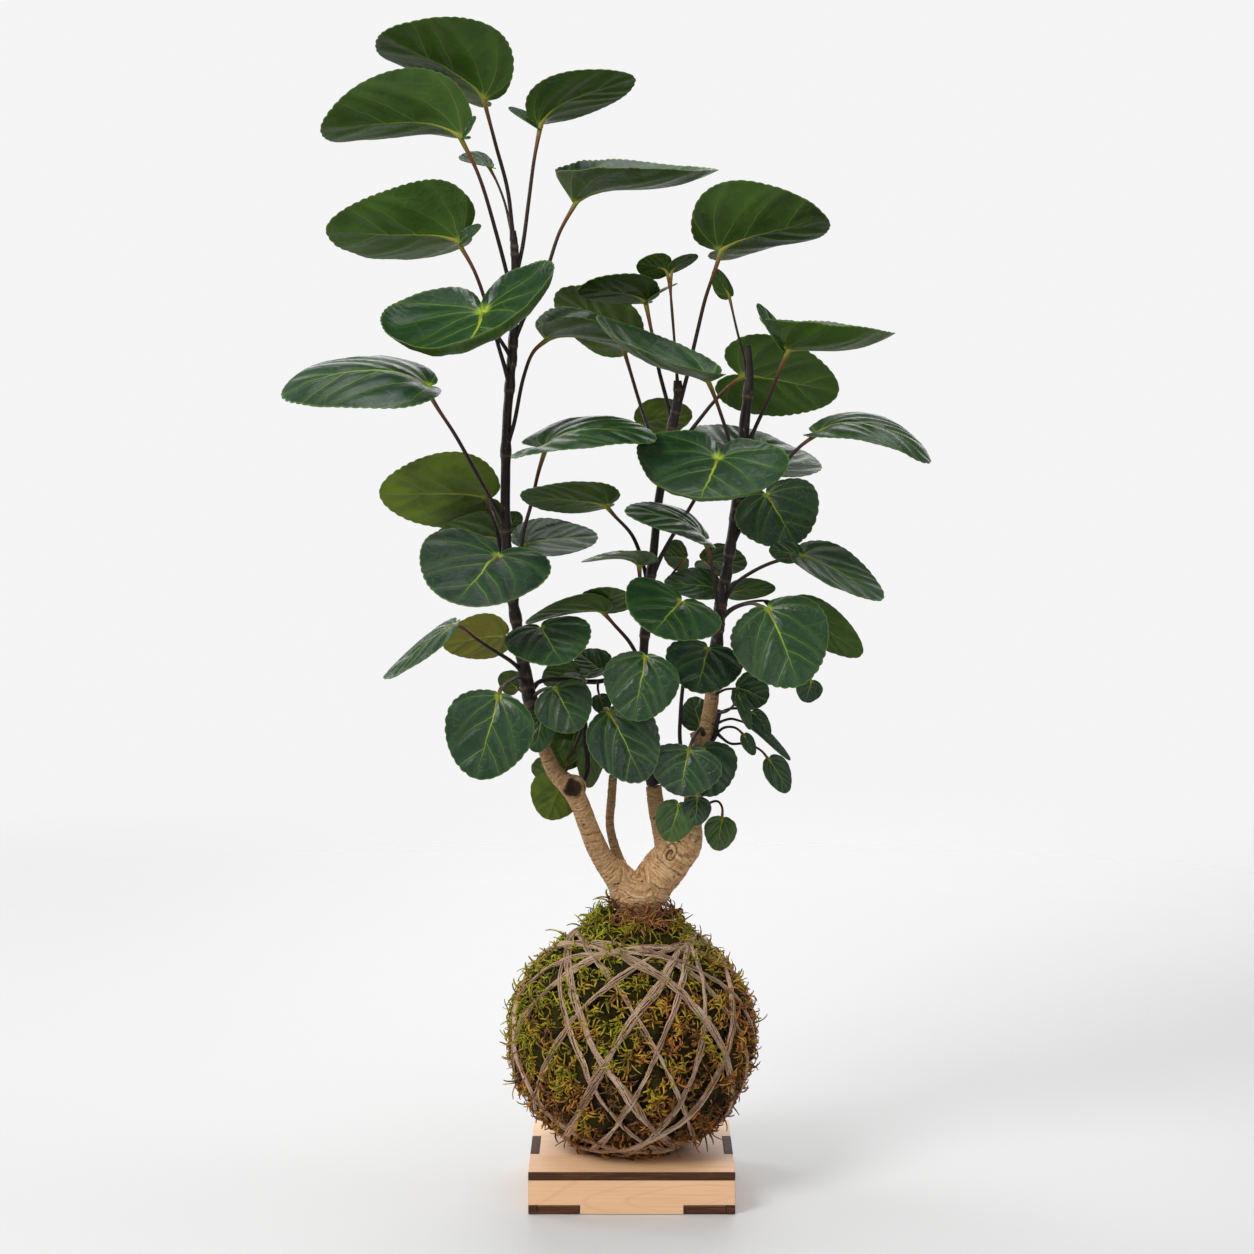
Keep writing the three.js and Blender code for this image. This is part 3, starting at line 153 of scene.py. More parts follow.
LEAVES = (
    leaf("leaf_left_1", (-85, -5, 644), (-143, -32, 678), (0.4, 0.65, 0.65), 74, fold=45, back=0.13,
         stalk=((-69, 0, 562), (-72, -1, 591), (-79, -3, 618))),
    leaf("leaf_left_2", (-97, -25, 620), (-177, -38, 624), (0, 0.6, 0.8), 68, fold=55, back=0.08, cup=0.2,
         egg=0.1,
         stalk=((-68, 0, 519), (-71, -4, 536), (-78, -12, 565), (-88, -20, 599))),
    leaf("leaf_left_2", (-97, -25, 620), (-89, -28, 632), (-0.5, -0.8, 0.4), 8, fold=30),
    leaf("leaf_left_3", (-54, 12, 628), (2, 2, 656), (-0.35, 0.5, 0.8), 48, fold=12, back=0.06, cup=0.22,
         stalk=((-68, 0, 541), (-64, 3, 557), (-60, 6, 586), (-57, 9, 609))),
    leaf("leaf_left_3", (-54, 12, 628), (-72, 12, 640), (0, -0.7, 0.8), 8, fold=30),
    leaf("leaf_left_4", (-34, 0, 584), (50, 5, 604), (0, -0.12, 1), 78, fold=44, bend=-58, back=0.24,
         cup=0.22, egg=-0.14,
         stalk=((-69, 0, 504), (-63, 0, 517), (-50, 0, 544), (-42, 0, 567))),
    leaf("stem_left", (-83, 15, 605), (-101, 8, 610), (0.2, -0.4, 0.9), 22, fold=30, back=0.15,
         stalk=((-68, 0, 558), (-71, 5, 571), (-74, 9, 584), (-79, 13, 597))),
    leaf("leaf_left_5", (-99, -10, 561), (-176, -15, 569), (0, 0.72, 0.7), 66, fold=35, bend=-40, back=0.2,
         cup=0.2,
         stalk=((-71, 0, 478), (-77, -4, 499), (-82, -6, 517), (-91, -9, 544))),
    leaf("leaf_left_5", (-99, -10, 561), (-87, -14, 571), (-0.3, -0.8, 0.5), 9, fold=30),
    leaf("leaf_left_6", (-85, -25, 520), (-96, -95, 496), (-0.3, -0.25, 0.95), 112, fold=24, bend=-35,
         back=0.3, lip=0.1,
         stalk=((-70, 0, 494), (-76, -8, 504), (-81, -18, 512))),
    leaf("leaf_left_7", (-116, -60, 478), (-197, -75, 474), (0, -0.4, 0.9), 74, fold=-24, bend=45,
         back=0.08,
         stalk=((-74, 0, 396), (-80, -8, 408), (-89, -28, 427), (-101, -45, 451), (-110, -55, 466))),
    leaf("leaf_left_8", (-50, -40, 442), (14, -60, 448), (0, -0.35, 0.95), 52, fold=-10, bend=35, back=0.28,
         cup=0.15,
         stalk=((-69, 0, 343), (-66, -6, 370), (-63, -14, 393), (-58, -22, 411), (-54, -32, 428))),
    leaf("leaf_left_9", (-85, 25, 411), (-151, 35, 413), (0, 0.85, 0.4), 52, fold=15, tone=0.9,
         stalk=((-73, 0, 365), (-77, 5, 380), (-80, 8, 395), (-84, 17, 405))),
    leaf("stem_left", (-78, 34, 386), (-118, 28, 387), (0, 0.7, 0.7), 40, back=0.15,
         stalk=((-73, 0, 377), (-75, 17, 383))),
    leaf("leaf_left_10", (-77, -45, 381), (-99, -95, 358), (0.03, -0.6, 0.8), 76, fold=14, bend=-12,
         back=0.18,
         stalk=((-70, 0, 355), (-73, -15, 365), (-76, -34, 375))),
    leaf("leaf_left_11", (-65, 20, 382), (-20, 26, 388), (0, -0.45, 0.9), 44, back=0.15,
         stalk=((-72, 0, 367), (-70, 7, 374), (-67, 14, 379))),
    leaf("stem_left", (-75, 35, 392), (-66, 38, 401), (0, 0.8, 0.5), 15,
         stalk=((-73, 0, 379), (-74, 16, 385), (-74, 28, 389))),
    leaf("leaf_left_12", (-104, -30, 340), (-143, -40, 310), (-0.6, -0.2, 0.8), 44, fold=-10, cup=0.05,
         stalk=((-63, -2, 309), (-71, -8, 317), (-82, -16, 325), (-92, -24, 333), (-99, -29, 339))),
    leaf("leaf_left_13", (-76, 20, 329), (-113, 25, 323), (0, 0.9, 0.35), 30, tone=-0.8,
         stalk=((-66, 0, 318), (-71, 12, 324))),
    leaf("leaf_left_14", (-52, -45, 339), (-39, -78, 323), (0.03, -0.7, 0.7), 50, fold=8, bend=-10,
         stalk=((-65, 0, 321), (-61, -15, 330), (-56, -33, 337))),
    leaf("leaf_left_15", (-76, -60, 302), (-89, -70, 256), (0, -1, 0.2), 51, back=0.06,
         stalk=((-62, -2, 303), (-66, -14, 308), (-71, -36, 308), (-75, -54, 306))),
    leaf("leaf_left_16", (-44, -45, 305), (-31, -52, 281), (0, -1, 0.25), 34, back=0.08,
         stalk=((-60, -3, 293), (-55, -14, 299), (-48, -34, 304))),
    leaf("stem_left", (-68, 12, 299), (-79, 15, 306), (0, 0.9, 0.3), 16, tone=0.4,
         stalk=((-61, -3, 294), (-64, 8, 296))),
    leaf("stem_left", (-53, -20, 285), (-56, -24, 265), (0, -1, 0.2), 18,
         stalk=((-57, -6, 284), (-56, -14, 287))),
    leaf("middle_top_leaf_pair", (21, 10, 545), (3, 4, 549), (0, 0.7, 0.6), 20,
         stalk=((27, 6, 478), (25, 7, 505), (23, 9, 530))),
    leaf("middle_top_leaf_pair", (23, 10, 545), (39, 14, 554), (0, 0.5, 0.8), 14,
         stalk=((27, 6, 478), (25, 7, 505), (23, 9, 530))),
    leaf("leaf_middle_1", (51, -5, 556), (112, -30, 574), (0, 0.6, 0.8), 74, fold=50, back=0.2,
         stalk=((27, 6, 465), (31, 5, 478), (38, 2, 508), (43, -1, 529), (48, -4, 544))),
    leaf("leaf_middle_2", (9, 15, 526), (-31, 2, 535), (0, 0.45, 0.87), 38, fold=12, back=0.15, cup=0.15,
         stalk=((24, 6, 456), (21, 8, 468), (16, 10, 487), (12, 13, 508))),
    leaf("leaf_middle_2", (9, 15, 526), (27, 18, 538), (-0.3, -0.1, 1), 12, fold=20),
    leaf("leaf_middle_3", (-5, 50, 501), (-44, 38, 534), (0.2, 0.75, 0.6), 46, back=0.15, tone=0.35,
         stalk=((19, 6, 427), (11, 22, 449), (4, 38, 470), (-2, 47, 490))),
    leaf("leaf_middle_4", (-50, -10, 505), (21, 0, 492), (0, -0.12, 1), 66, fold=46, bend=-10, cup=0.15,
         stalk=((-74, 0, 440), (-69, -3, 455), (-63, -7, 483), (-57, -9, 498))),
    leaf("leaf_middle_5", (45, -40, 481), (-20, -60, 517), (0, -0.25, 0.95), 68, fold=37, bend=-65, egg=0,
         stalk=((62, 2, 402), (59, -4, 423), (57, -14, 444), (51, -28, 463), (46, -37, 476))),
    leaf("stem_middle", (6, 60, 454), (37, 62, 460), (0, 0.85, 0.5), 28, back=0.15, tone=0.9,
         stalk=((20, 6, 435), (17, 30, 442), (10, 52, 449))),
    leaf("leaf_middle_6", (49, -50, 437), (35, -105, 413), (0, -0.55, 0.8), 88, fold=12, bend=-30,
         back=0.25, lip=0.08,
         stalk=((13, 6, 369), (21, 0, 385), (32, -10, 404), (42, -33, 423))),
    leaf("leaf_middle_7", (-14, -26, 409), (-64, -38, 417), (0, 0.5, 0.87), 42, fold=8, bend=-20, back=0.15,
         stalk=((10, 6, 357), (7, 10, 372), (1, 3, 389), (-10, -18, 403))),
    leaf("leaf_middle_8", (5, -10, 373), (-29, -20, 376), (0, 0.1, 1), 36, fold=25, bend=10, back=0.28,
         cup=0.15,
         stalk=((8, 6, 333), (6, -2, 350), (5, -7, 362))),
    leaf("leaf_middle_9", (-16, -10, 346), (-62, -20, 341), (0, 0.4, 0.9), 34, fold=26, bend=10,
         stalk=((7, 6, 311), (-1, 0, 327), (-10, -6, 338))),
    leaf("leaf_middle_9", (-16, -9, 346), (-11, -26, 362), (0, 0.7, 0.7), 32),
    leaf("leaf_middle_10", (41, -26, 390), (-4, -50, 406), (0, -0.5, 0.87), 40, fold=-8, bend=35,
         stalk=((50, 2, 326), (50, -6, 350), (47, -14, 372), (44, -22, 384))),
    leaf("stem_middle", (32, 25, 375), (19, 30, 376), (0, 0.8, 0.5), 24,
         stalk=((10, 6, 350), (17, 12, 356), (24, 19, 366))),
    leaf("leaf_middle_11", (28, -50, 355), (11, -85, 340), (0.12, -0.75, 0.65), 58, fold=10, bend=-10,
         back=0.15,
         stalk=((37, 1, 238), (29, 12, 265), (29, 10, 283), (30, 2, 299), (32, -14, 321), (30, -36, 343))),
    leaf("leaf_middle_12", (8, -50, 324), (1, -60, 288), (0, -1, 0.2), 43, back=0.06,
         stalk=((7, 8, 295), (7, -12, 309), (8, -36, 319))),
    leaf("leaf_middle_13", (-13, -42, 291), (7, -52, 252), (0.1, -1, 0.2), 42, back=0.06,
         stalk=((-11, 18, 244), (-12, 2, 266), (-16, -20, 287), (-15, -34, 292))),
    leaf("stem_right", (57, 6, 531), (48, 4, 546), (-0.5, 0.5, 0.4), 12, fold=40, back=0.15,
         stalk=((68, 2, 475), (66, 4, 492), (61, 6, 513))),
    leaf("leaf_right_1", (90, -10, 499), (153, -5, 509), (0, -0.04, 1), 76, fold=50, bend=-60, back=0.46,
         egg=-0.22,
         stalk=((65, 2, 433), (70, 0, 448), (80, -4, 471), (86, -8, 487))),
    leaf("leaf_right_1", (89, -9, 500), (73, -4, 526), (0.3, -0.9, 0.3), 9, fold=30),
    leaf("leaf_right_2", (67, 50, 483), (125, 62, 473), (0, 0.9, 0.35), 52, back=0.3,
         stalk=((20, 6, 435), (33, 18, 449), (50, 36, 469), (61, 47, 479))),
    leaf("leaf_right_3", (109, -15, 451), (172, -30, 434), (0, -0.3, 0.95), 46, fold=-10, bend=65,
         stalk=((62, 2, 409), (71, 0, 418), (84, -6, 428), (98, -12, 443))),
    leaf("leaf_right_4", (70, 22, 428), (80, 66, 448), (0.2, -0.5, 0.85), 80, back=0.2,
         stalk=((63, 2, 414), (67, 12, 421))),
    leaf("leaf_right_5", (79, 0, 414), (96, -16, 386), (0.1, -0.95, 0.35), 52, fold=14, bend=-12, back=0.14,
         stalk=((58, 2, 381), (64, 1, 394), (71, 0, 404))),
    leaf("leaf_right_6", (98, -30, 380), (144, -45, 356), (0.4, -0.5, 0.77), 42, fold=10,
         stalk=((52, 2, 346), (60, -4, 361), (69, -12, 369), (84, -24, 377))),
    leaf("leaf_right_6", (97, -28, 380), (80, -18, 384), (0, -0.9, 0.4), 14),
    leaf("stem_right", (59, 20, 355), (86, 25, 357), (0, 0.8, 0.5), 16,
         stalk=((53, 2, 350), (56, 12, 353))),
    leaf("stem_right", (43, 30, 373), (69, 40, 369), (0, 0.7, 0.6), 28, back=0.15,
         stalk=((55, 2, 366), (50, 16, 369))),
    leaf("stem_right", (50, 18, 357), (19, 12, 361), (0, -0.6, 0.8), 28,
         stalk=((53, 2, 352), (52, 10, 354))),
    leaf("leaf_right_7", (78, -45, 351), (96, -60, 308), (0, -1, 0.3), 57, fold=12, back=0.08,
         stalk=((50, 2, 337), (58, -10, 347), (66, -24, 352), (72, -38, 353))),
    leaf("leaf_right_8", (96, 10, 346), (137, 15, 318), (-0.3, 0.8, 0.5), 27,
         stalk=((51, 2, 341), (61, 6, 348), (79, 10, 351))),
    leaf("leaf_right_8", (106, 0, 304), (102, -4, 292), (0, -1, 0.2), 16,
         stalk=((79, 10, 351), (93, 8, 333), (102, 3, 314))),
    leaf("leaf_right_9", (44, -30, 326), (37, -50, 303), (0, -0.9, 0.4), 45, fold=12,
         stalk=((48, 2, 304), (47, -10, 309), (45, -22, 319))),
    leaf("leaf_right_10", (62, -10, 301), (80, -15, 295), (0, -0.8, 0.6), 27, fold=12,
         stalk=((47, 2, 294), (55, -6, 300))),
    leaf("leaf_right_11", (33, -40, 268), (27, -48, 243), (0, -1, 0.2), 42, fold=12,
         stalk=((43, 1, 270), (41, -8, 277), (36, -26, 274))),
    leaf("leaf_right_12", (42, -12, 266), (48, -17, 238), (0, -1, 0.2), 36,
         stalk=((42, 1, 261), (43, -6, 266))),
    leaf("leaf_right_13", (41, 16, 275), (36, 18, 293), (0, -1, 0), 20,
         stalk=((41, 2, 259), (42, 10, 268))),
    leaf("inner_spray", (-32, 12, 308), (-53, 20, 301), (0, 0.8, 0.5), 24,
         stalk=((-28, 10, 303), (-30, 11, 306))),
    leaf("inner_spray", (-18, 14, 308), (-32, 22, 319), (0, -0.7, 0.7), 24,
         stalk=((-15, 9, 304), (-16, 12, 306))),
    leaf("inner_spray", (-15, 0, 310), (-27, -6, 307), (0, -0.4, 1), 8,
         stalk=((-15, 9, 304), (-15, 4, 308))),
    leaf("inner_spray", (-28, 0, 305), (-40, -6, 309), (0, -0.4, 1), 8,
         stalk=((-27, 10, 303), (-27, 4, 304))),
    leaf("inner_spray", (-19, 2, 295), (-16, -4, 285), (0, -1, 0.2), 12,
         stalk=((-20, 9, 303), (-20, 6, 299))),
    leaf("low_left_spray", (-41, 5, 245), (-50, 10, 220), (0, 0.9, 0.4), 32, tone=0.8,
         stalk=((-28, 5, 279), (-34, 4, 263), (-38, 5, 252))),
    leaf("low_left_spray", (-41, 12, 247), (-60, 18, 250), (0, 0.9, 0.5), 24, tone=0.6,
         stalk=((-28, 5, 280), (-35, 12, 263), (-39, 12, 253))),
    leaf("low_left_spray", (-39, -3, 255), (-46, 0, 268), (0, -0.9, 0.3), 26, tone=0.7,
         stalk=((-28, 4, 280), (-32, -4, 270), (-36, -5, 260))),
    leaf("low_left_spray", (-33, 14, 275), (-42, 18, 249), (0.2, -1, 0.2), 26, tone=0.5,
         stalk=((-28, 5, 282), (-30, 10, 279))),
    leaf("low_left_spray", (-26, 14, 272), (-25, 18, 238), (0.6, -0.8, 0), 22, tone=0.7,
         stalk=((-28, 5, 281), (-27, 10, 276))),
    leaf("right_spray", (62, -25, 298), (69, -29, 279), (0.3, -0.8, 0.3), 8,
         stalk=((51, -7, 286), (56, -19, 289), (60, -26, 294))),
    leaf("right_spray", (71, -12, 287), (81, -16, 274), (0.4, -0.8, 0.4), 11,
         stalk=((51, -7, 286), (58, -9, 289), (65, -11, 289))),
    leaf("right_spray", (68, -14, 281), (93, -20, 260), (0.4, -0.5, 0.6), 9,
         stalk=((50, -6, 280), (58, -9, 283), (64, -12, 282))),
    leaf("right_spray", (81, -6, 258), (92, -8, 239), (0.3, -0.8, 0.4), 17,
         stalk=((50, -5, 274), (58, -6, 268), (67, -7, 268), (76, -6, 264))),
    leaf("right_spray", (66, -14, 274), (72, -14, 262), (0, -1, 0.2), 8,
         stalk=((50, -5, 274), (55, -9, 278), (61, -12, 278))),
    leaf("fork_spray", (27, -35, 236), (21, -40, 215), (0.2, -1, 0.2), 24, tone=0.35,
         stalk=((35, 0, 221), (33, -14, 231), (29, -28, 236))),
    leaf("fork_spray", (38, -34, 239), (37, -38, 224), (0, -1, 0.2), 17,
         stalk=((35, 0, 221), (36, -16, 232), (37, -29, 238))),
    leaf("fork_spray", (53, -20, 225), (50, -24, 207), (0, -1, 0.2), 19, tone=0.35,
         stalk=((35, -8, 228), (43, -11, 232), (50, -14, 235), (53, -18, 232))),
)

LARGE_LEAF = 33
STALK_RADIUS = 1.3
FINE_STALK_RADIUS = 0.9
# Places along a stalk, and how thick it is there in its own radii. It swells at both joints.
STALK_TAPER = ((0, 0.05, 0.14, 0.8, 0.9, 1, 1.05), (1.6, 1.25, 0.95, 0.8, 0.95, 1.25, 0.9))
NOTCH_WIDTH = 22
HEART = 0.36
VEINS = ((0.0, 0.0, 47), (0.0, 0.0, 84), (0.0, 0.0, 122), (0.27, 0.05, 49), (0.58, -0.04, 47))
VEIN_CURVE = 0.42
# A stalk that starts this near a stem's middle leaves it there, at a joint.
JOINT_REACH = 7
JOINT_SWELL, SCAR_RISE, STEM_ROUGHNESS = 0.22, 0.28, 0.16
TOOTH_LENGTH = 5.4
TOOTH_DEPTH = 0.8
BLADE_THICKNESS = 0.5
QUILTING = 0.9


# The stage, in metres and watts: each light's name, place, size and power, and the place that they all face.
FLOOR_RADIUS = 1.9
FLOOR_HEIGHT = -0.0002
LIT_PLACE = np.array([0, 0, 0.4])
LIGHTS = (
    ("key", (-1.0, -1.1, 1.5), 0.8, 24),
    ("front", (0.8, -1.6, 0.7), 1.2, 5),
    ("over", (0.1, 0.1, 1.7), 1.2, 12),
    ("back_left", (-1.3, 0.8, 0.8), 0.8, 9),
    ("backdrop", (0.2, 1.7, 0.9), 1.8, 16),
)


# ---------------------------------------------------------------- points and meshes


def unit(vector):
    """The direction of a vector."""
    vector = np.asarray(vector, float)
    return vector / np.linalg.norm(vector)


# Numbers that stir a place into a random value, and how far apart two seeds' values lie.
PRIMES = (73856093, 19349663, 83492791, 1274126177)
SEED_STEP = 17.31


def drift(points, reach, seed=0):
    """Smooth random values from -1 to 1 that change over about reach millimetres."""
    grid = np.asarray(points, float) / reach + seed * SEED_STEP
    base = np.floor(grid).astype(np.int64)
    part = grid - base
    part = part * part * (3 - 2 * part)
    total = np.zeros(len(grid))
    for corner in range(8):
        step = np.array([corner & 1, corner >> 1 & 1, corner >> 2 & 1])
        cell = base + step
        mixed = cell[:, 0] * PRIMES[0] ^ cell[:, 1] * PRIMES[1] ^ cell[:, 2] * PRIMES[2]
        mixed = (mixed ^ (mixed >> 13)) * PRIMES[3] & 0x7FFFFFFF
        value = (mixed >> 7 & 0xFFFF) / 32767.5 - 1
        total += np.prod(np.where(step == 1, part, 1 - part), axis=1) * value
    return total


def run_along(path):
    """How far each point of a path lies along it. Only its first three columns count as place."""
    return np.concatenate([[0], np.cumsum(np.linalg.norm(np.diff(path[:, :3], axis=0), axis=1))])


def resample(path, count):
    """Even steps along a path."""
    run = run_along(path)
    want = np.linspace(0, run[-1], count)
    return np.stack([np.interp(want, run, column) for column in path.T], axis=1)


def smooth_path(points, count):
    """Even steps along a centripetal curve through the points."""
    points = np.array(points, float)
    ends = np.vstack([2 * points[0] - points[1], points, 2 * points[-1] - points[-2]])
    spans = []
    for p0, p1, p2, p3 in zip(ends, ends[1:], ends[2:], ends[3:]):
        t1 = np.linalg.norm((p1 - p0)[:3]) ** 0.5
        t2 = t1 + np.linalg.norm((p2 - p1)[:3]) ** 0.5
        t3 = t2 + np.linalg.norm((p3 - p2)[:3]) ** 0.5
        t = np.linspace(t1, t2, 12, endpoint=False)[:, None]
        a1 = (t1 - t) / t1 * p0 + t / t1 * p1
        a2 = (t2 - t) / (t2 - t1) * p1 + (t - t1) / (t2 - t1) * p2
        a3 = (t3 - t) / (t3 - t2) * p2 + (t - t2) / (t3 - t2) * p3
        b1 = (t2 - t) / t2 * a1 + t / t2 * a2
        b2 = (t3 - t) / (t3 - t1) * a2 + (t - t1) / (t3 - t1) * a3
        spans.append((t2 - t) / (t2 - t1) * b1 + (t - t1) / (t2 - t1) * b2)
    return resample(np.vstack([*spans, points[-1:]]), count)


def circle(count):
    """Even angles once round."""
    return np.arange(count) * 2 * math.pi / count


def rings_round(path, sides):
    """Unit vectors round each step of a path, without twist."""
    along = np.gradient(path, axis=0)
    along /= np.linalg.norm(along, axis=1)[:, None]
    start = (0.0, 1.0, 0.0) if abs(along[0][1]) < 0.8 else (1.0, 0.0, 0.0)
    side = np.cross(along[0], start)
    across = []
    for direction in along:
        side = unit(side - direction * side.dot(direction))
        across.append(side)
    across = np.array(across)
    up = np.cross(along, across)
    turn = circle(sides)
    return np.cos(turn)[None, :, None] * across[:, None] + np.sin(turn)[None, :, None] * up[:, None]


def ring_faces(rings, count, closed=False):
    """Quads between neighbouring rings of count points each. Where closed, the last ring joins the first."""
    faces = []
    for ring in range(rings if closed else rings - 1):
        near, far = ring * count, (ring + 1) % rings * count
        for i in range(count):
            j = (i + 1) % count
            faces.append((near + i, far + i, far + j, near + j))
    return faces


def tube(path, radii, sides):
    """Points and faces of a closed round tube. radii has a value for each ring, or for each of its points."""
    radii = np.asarray(radii, float)
    if radii.ndim == 1:
        radii = np.repeat(radii[:, None], sides, axis=1)
    points = path[:, None] + rings_round(path, sides) * radii[:, :, None]
    rows = len(path)
    faces = [(a, d, c, b) for a, b, c, d in ring_faces(rows, sides)]
    first = rows * sides
    last = (rows - 1) * sides
    for i in range(sides):
        j = (i + 1) % sides
        faces.append((first, j, i))
        faces.append((first + 1, last + i, last + j))
    return np.vstack([points.reshape(-1, 3), path[:1], path[-1:]]), faces


def per_ring(values, sides):
    """Values of a tube's rings, given to each of its points and its two end points."""
    return np.concatenate([np.repeat(values, sides), values[:1], values[-1:]])


class Shape:
    """The points, faces, materials and named point values of one piece, gathered part by part."""

    def __init__(self):
        self.points = []
        self.faces = []
        self.slots = []
        self.values = {}
        self.count = 0

    def add(self, points, faces, slot=0, **values):
        self.faces.extend(tuple(index + self.count for index in face) for face in faces)
        self.slots.extend([slot] * len(faces) if isinstance(slot, int) else slot)
        for name, value in values.items():
            self.values.setdefault(name, []).append((self.count, np.asarray(value, float)))
        self.points.append(np.asarray(points, float))
        self.count += len(points)

    def build(self, name, dress):
        mesh = bpy.data.meshes.new(name)
        mesh.from_pydata((np.concatenate(self.points) * MM).tolist(), [], self.faces)
        for look in dress:
            mesh.materials.append(look)
        smooth_faces(mesh, self.slots)
        for key, parts in self.values.items():
            store(mesh, key, parts, self.count)
        mesh.update()
        piece = bpy.data.objects.new(name, mesh)
        bpy.context.scene.collection.objects.link(piece)
        return piece


def store(mesh, key, parts, count):
    """Writes a named point value, zero where no part gives it."""
    vector = parts[0][1].ndim == 2
    whole = np.zeros((count, 3) if vector else count)
    for start, value in parts:
        whole[start:start + len(value)] = value
    kind = "FLOAT_VECTOR" if vector else "FLOAT"
    attribute = mesh.attributes.new(key, kind, "POINT")
    attribute.data.foreach_set("vector" if vector else "value", whole.astype(np.float32).ravel())


def bake_modifiers(piece):
    """Turns what a piece's modifiers make into its own plain mesh."""
    graph = bpy.context.evaluated_depsgraph_get()
    mesh = bpy.data.meshes.new_from_object(
        piece.evaluated_get(graph), preserve_all_data_layers=True, depsgraph=graph)
    piece.modifiers.clear()
    piece.data = mesh
    return piece


def smooth_faces(mesh, slots=None):
    """Shades a mesh smoothly. Each face has its own material slot, or all have the first."""
    count = len(mesh.polygons)
    mesh.polygons.foreach_set("material_index", slots or [0] * count)
    mesh.polygons.foreach_set("use_smooth", [True] * count)


def settle(piece, slot, *nodes):
    """Fixes a finished piece to the frame, in the place of the nodes that it stands for."""
    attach(piece, BODY)
    if nodes:
        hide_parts(*nodes)
    return piece


# ---------------------------------------------------------------- node trees


class Tree:
    """Adds nodes to a shader or geometry tree and links them."""

    def __init__(self, tree):
        self.tree = tree

    def add(self, kind, inputs=None, **settings):
        node = self.tree.nodes.new(kind)
        for key, value in settings.items():
            setattr(node, key, value)
        for key, value in (inputs or {}).items():
            self.feed(self.find(node, key), value)
        return node

    @staticmethod
    def find(node, key):
        if isinstance(key, int):
            return node.inputs[key]
        return next(socket for socket in node.inputs if socket.name == key and socket.enabled)

    def feed(self, socket, value):
        if isinstance(value, bpy.types.Node):
            value = next(output for output in value.outputs if output.enabled)
        if isinstance(value, bpy.types.NodeSocket):
            self.tree.links.new(value, socket)
        else:
            socket.default_value = value

    def math(self, operation, *values, clamp=False):
        inputs = dict(enumerate(values))
        return self.add("ShaderNodeMath", inputs, operation=operation, use_clamp=clamp).outputs[0]

    def plus(self, first, second, clamp=False):
        return self.math("ADD", first, second, clamp=clamp)

    def minus(self, first, second):
        return self.math("SUBTRACT", first, second)

    def times(self, first, second):
        return self.math("MULTIPLY", first, second)

    def vectors(self, operation, *values):
        return self.add("ShaderNodeVectorMath", dict(enumerate(values)), operation=operation).outputs[0]

    def scaled(self, vector, factor):
        return self.add("ShaderNodeVectorMath", {0: vector, "Scale": factor}, operation="SCALE").outputs[0]

    def length(self, first, second):
        """The length of a flat vector of two parts."""
        return self.math("SQRT", self.plus(self.times(first, first), self.times(second, second)))

    def combined(self, x=0.0, y=0.0, z=0.0):
        return self.add("ShaderNodeCombineXYZ", {0: x, 1: y, 2: z}).outputs[0]

    def step(self, value, low, high):
        """A soft step from 0 at low to 1 at high, or the other way round where low is above high."""
        rising = self.add(
            "ShaderNodeMapRange",
            {"Value": value, "From Min": min(low, high), "From Max": max(low, high),
             "To Min": float(low > high), "To Max": float(low < high)},
            interpolation_type="SMOOTHSTEP")
        return rising.outputs[0]

    def blend(self, factor, first, second):
        inputs = {0: factor, 6: first, 7: second}
        return self.add("ShaderNodeMix", inputs, data_type="RGBA").outputs[2]

    def tint(self, base, mask, share, colour):
        """Mixes a share of a colour into base where the mask is."""
        return self.blend(self.times(mask, share), base, rgba(colour))

    def ramp(self, value, stops):
        node = self.add("ShaderNodeValToRGB", {"Fac": value})
        elements = node.color_ramp.elements
        while len(elements) < len(stops):
            elements.new(0.5)
        for element, (place, colour) in zip(elements, stops):
            element.position = place
            element.color = rgba(colour)
        return node.outputs["Color"]

    def noise(self, vector, scale, detail, roughness=0.55):
        inputs = {"Vector": vector, "Scale": scale, "Detail": detail, "Roughness": roughness}
        return self.add("ShaderNodeTexNoise", inputs)

    def value(self, name):
        return self.add("ShaderNodeAttribute", attribute_name=name).outputs["Fac"]

    def vector(self, name):
        return self.add("ShaderNodeAttribute", attribute_name=name).outputs["Vector"]

    def place(self):
        return self.add("ShaderNodeTexCoord").outputs["Object"]

    def stretched(self, vector, scale):
        return self.add("ShaderNodeMapping", {"Vector": vector, "Scale": scale}).outputs[0]

    def parts(self, vector):
        return self.add("ShaderNodeSeparateXYZ", {0: vector}).outputs

    def bump(self, height, strength, distance):
        inputs = {"Height": height, "Strength": strength, "Distance": distance}
        return self.add("ShaderNodeBump", inputs).outputs[0]

    def named(self, name, kind="FLOAT"):
        """A named value of the geometry that a geometry tree works on."""
        return self.add("GeometryNodeInputNamedAttribute", {"Name": name}, data_type=kind).outputs[0]

    def stored(self, geometry, name, value, kind="FLOAT", domain="POINT"):
        inputs = {"Geometry": geometry, "Name": name, "Value": value}
        return self.add("GeometryNodeStoreNamedAttribute", inputs, data_type=kind, domain=domain)

    def deliver(self, geometry, look, output):
        """Ends a geometry tree: real geometry, dressed in a material."""
        real = self.add("GeometryNodeRealizeInstances", {0: geometry})
        dressed = self.add("GeometryNodeSetMaterial", {"Geometry": real, "Material": look})
        self.feed(self.add("NodeGroupOutput").inputs[output], dressed)


def rgba(colour):
    """An opaque colour."""
    return (*colour, 1.0)


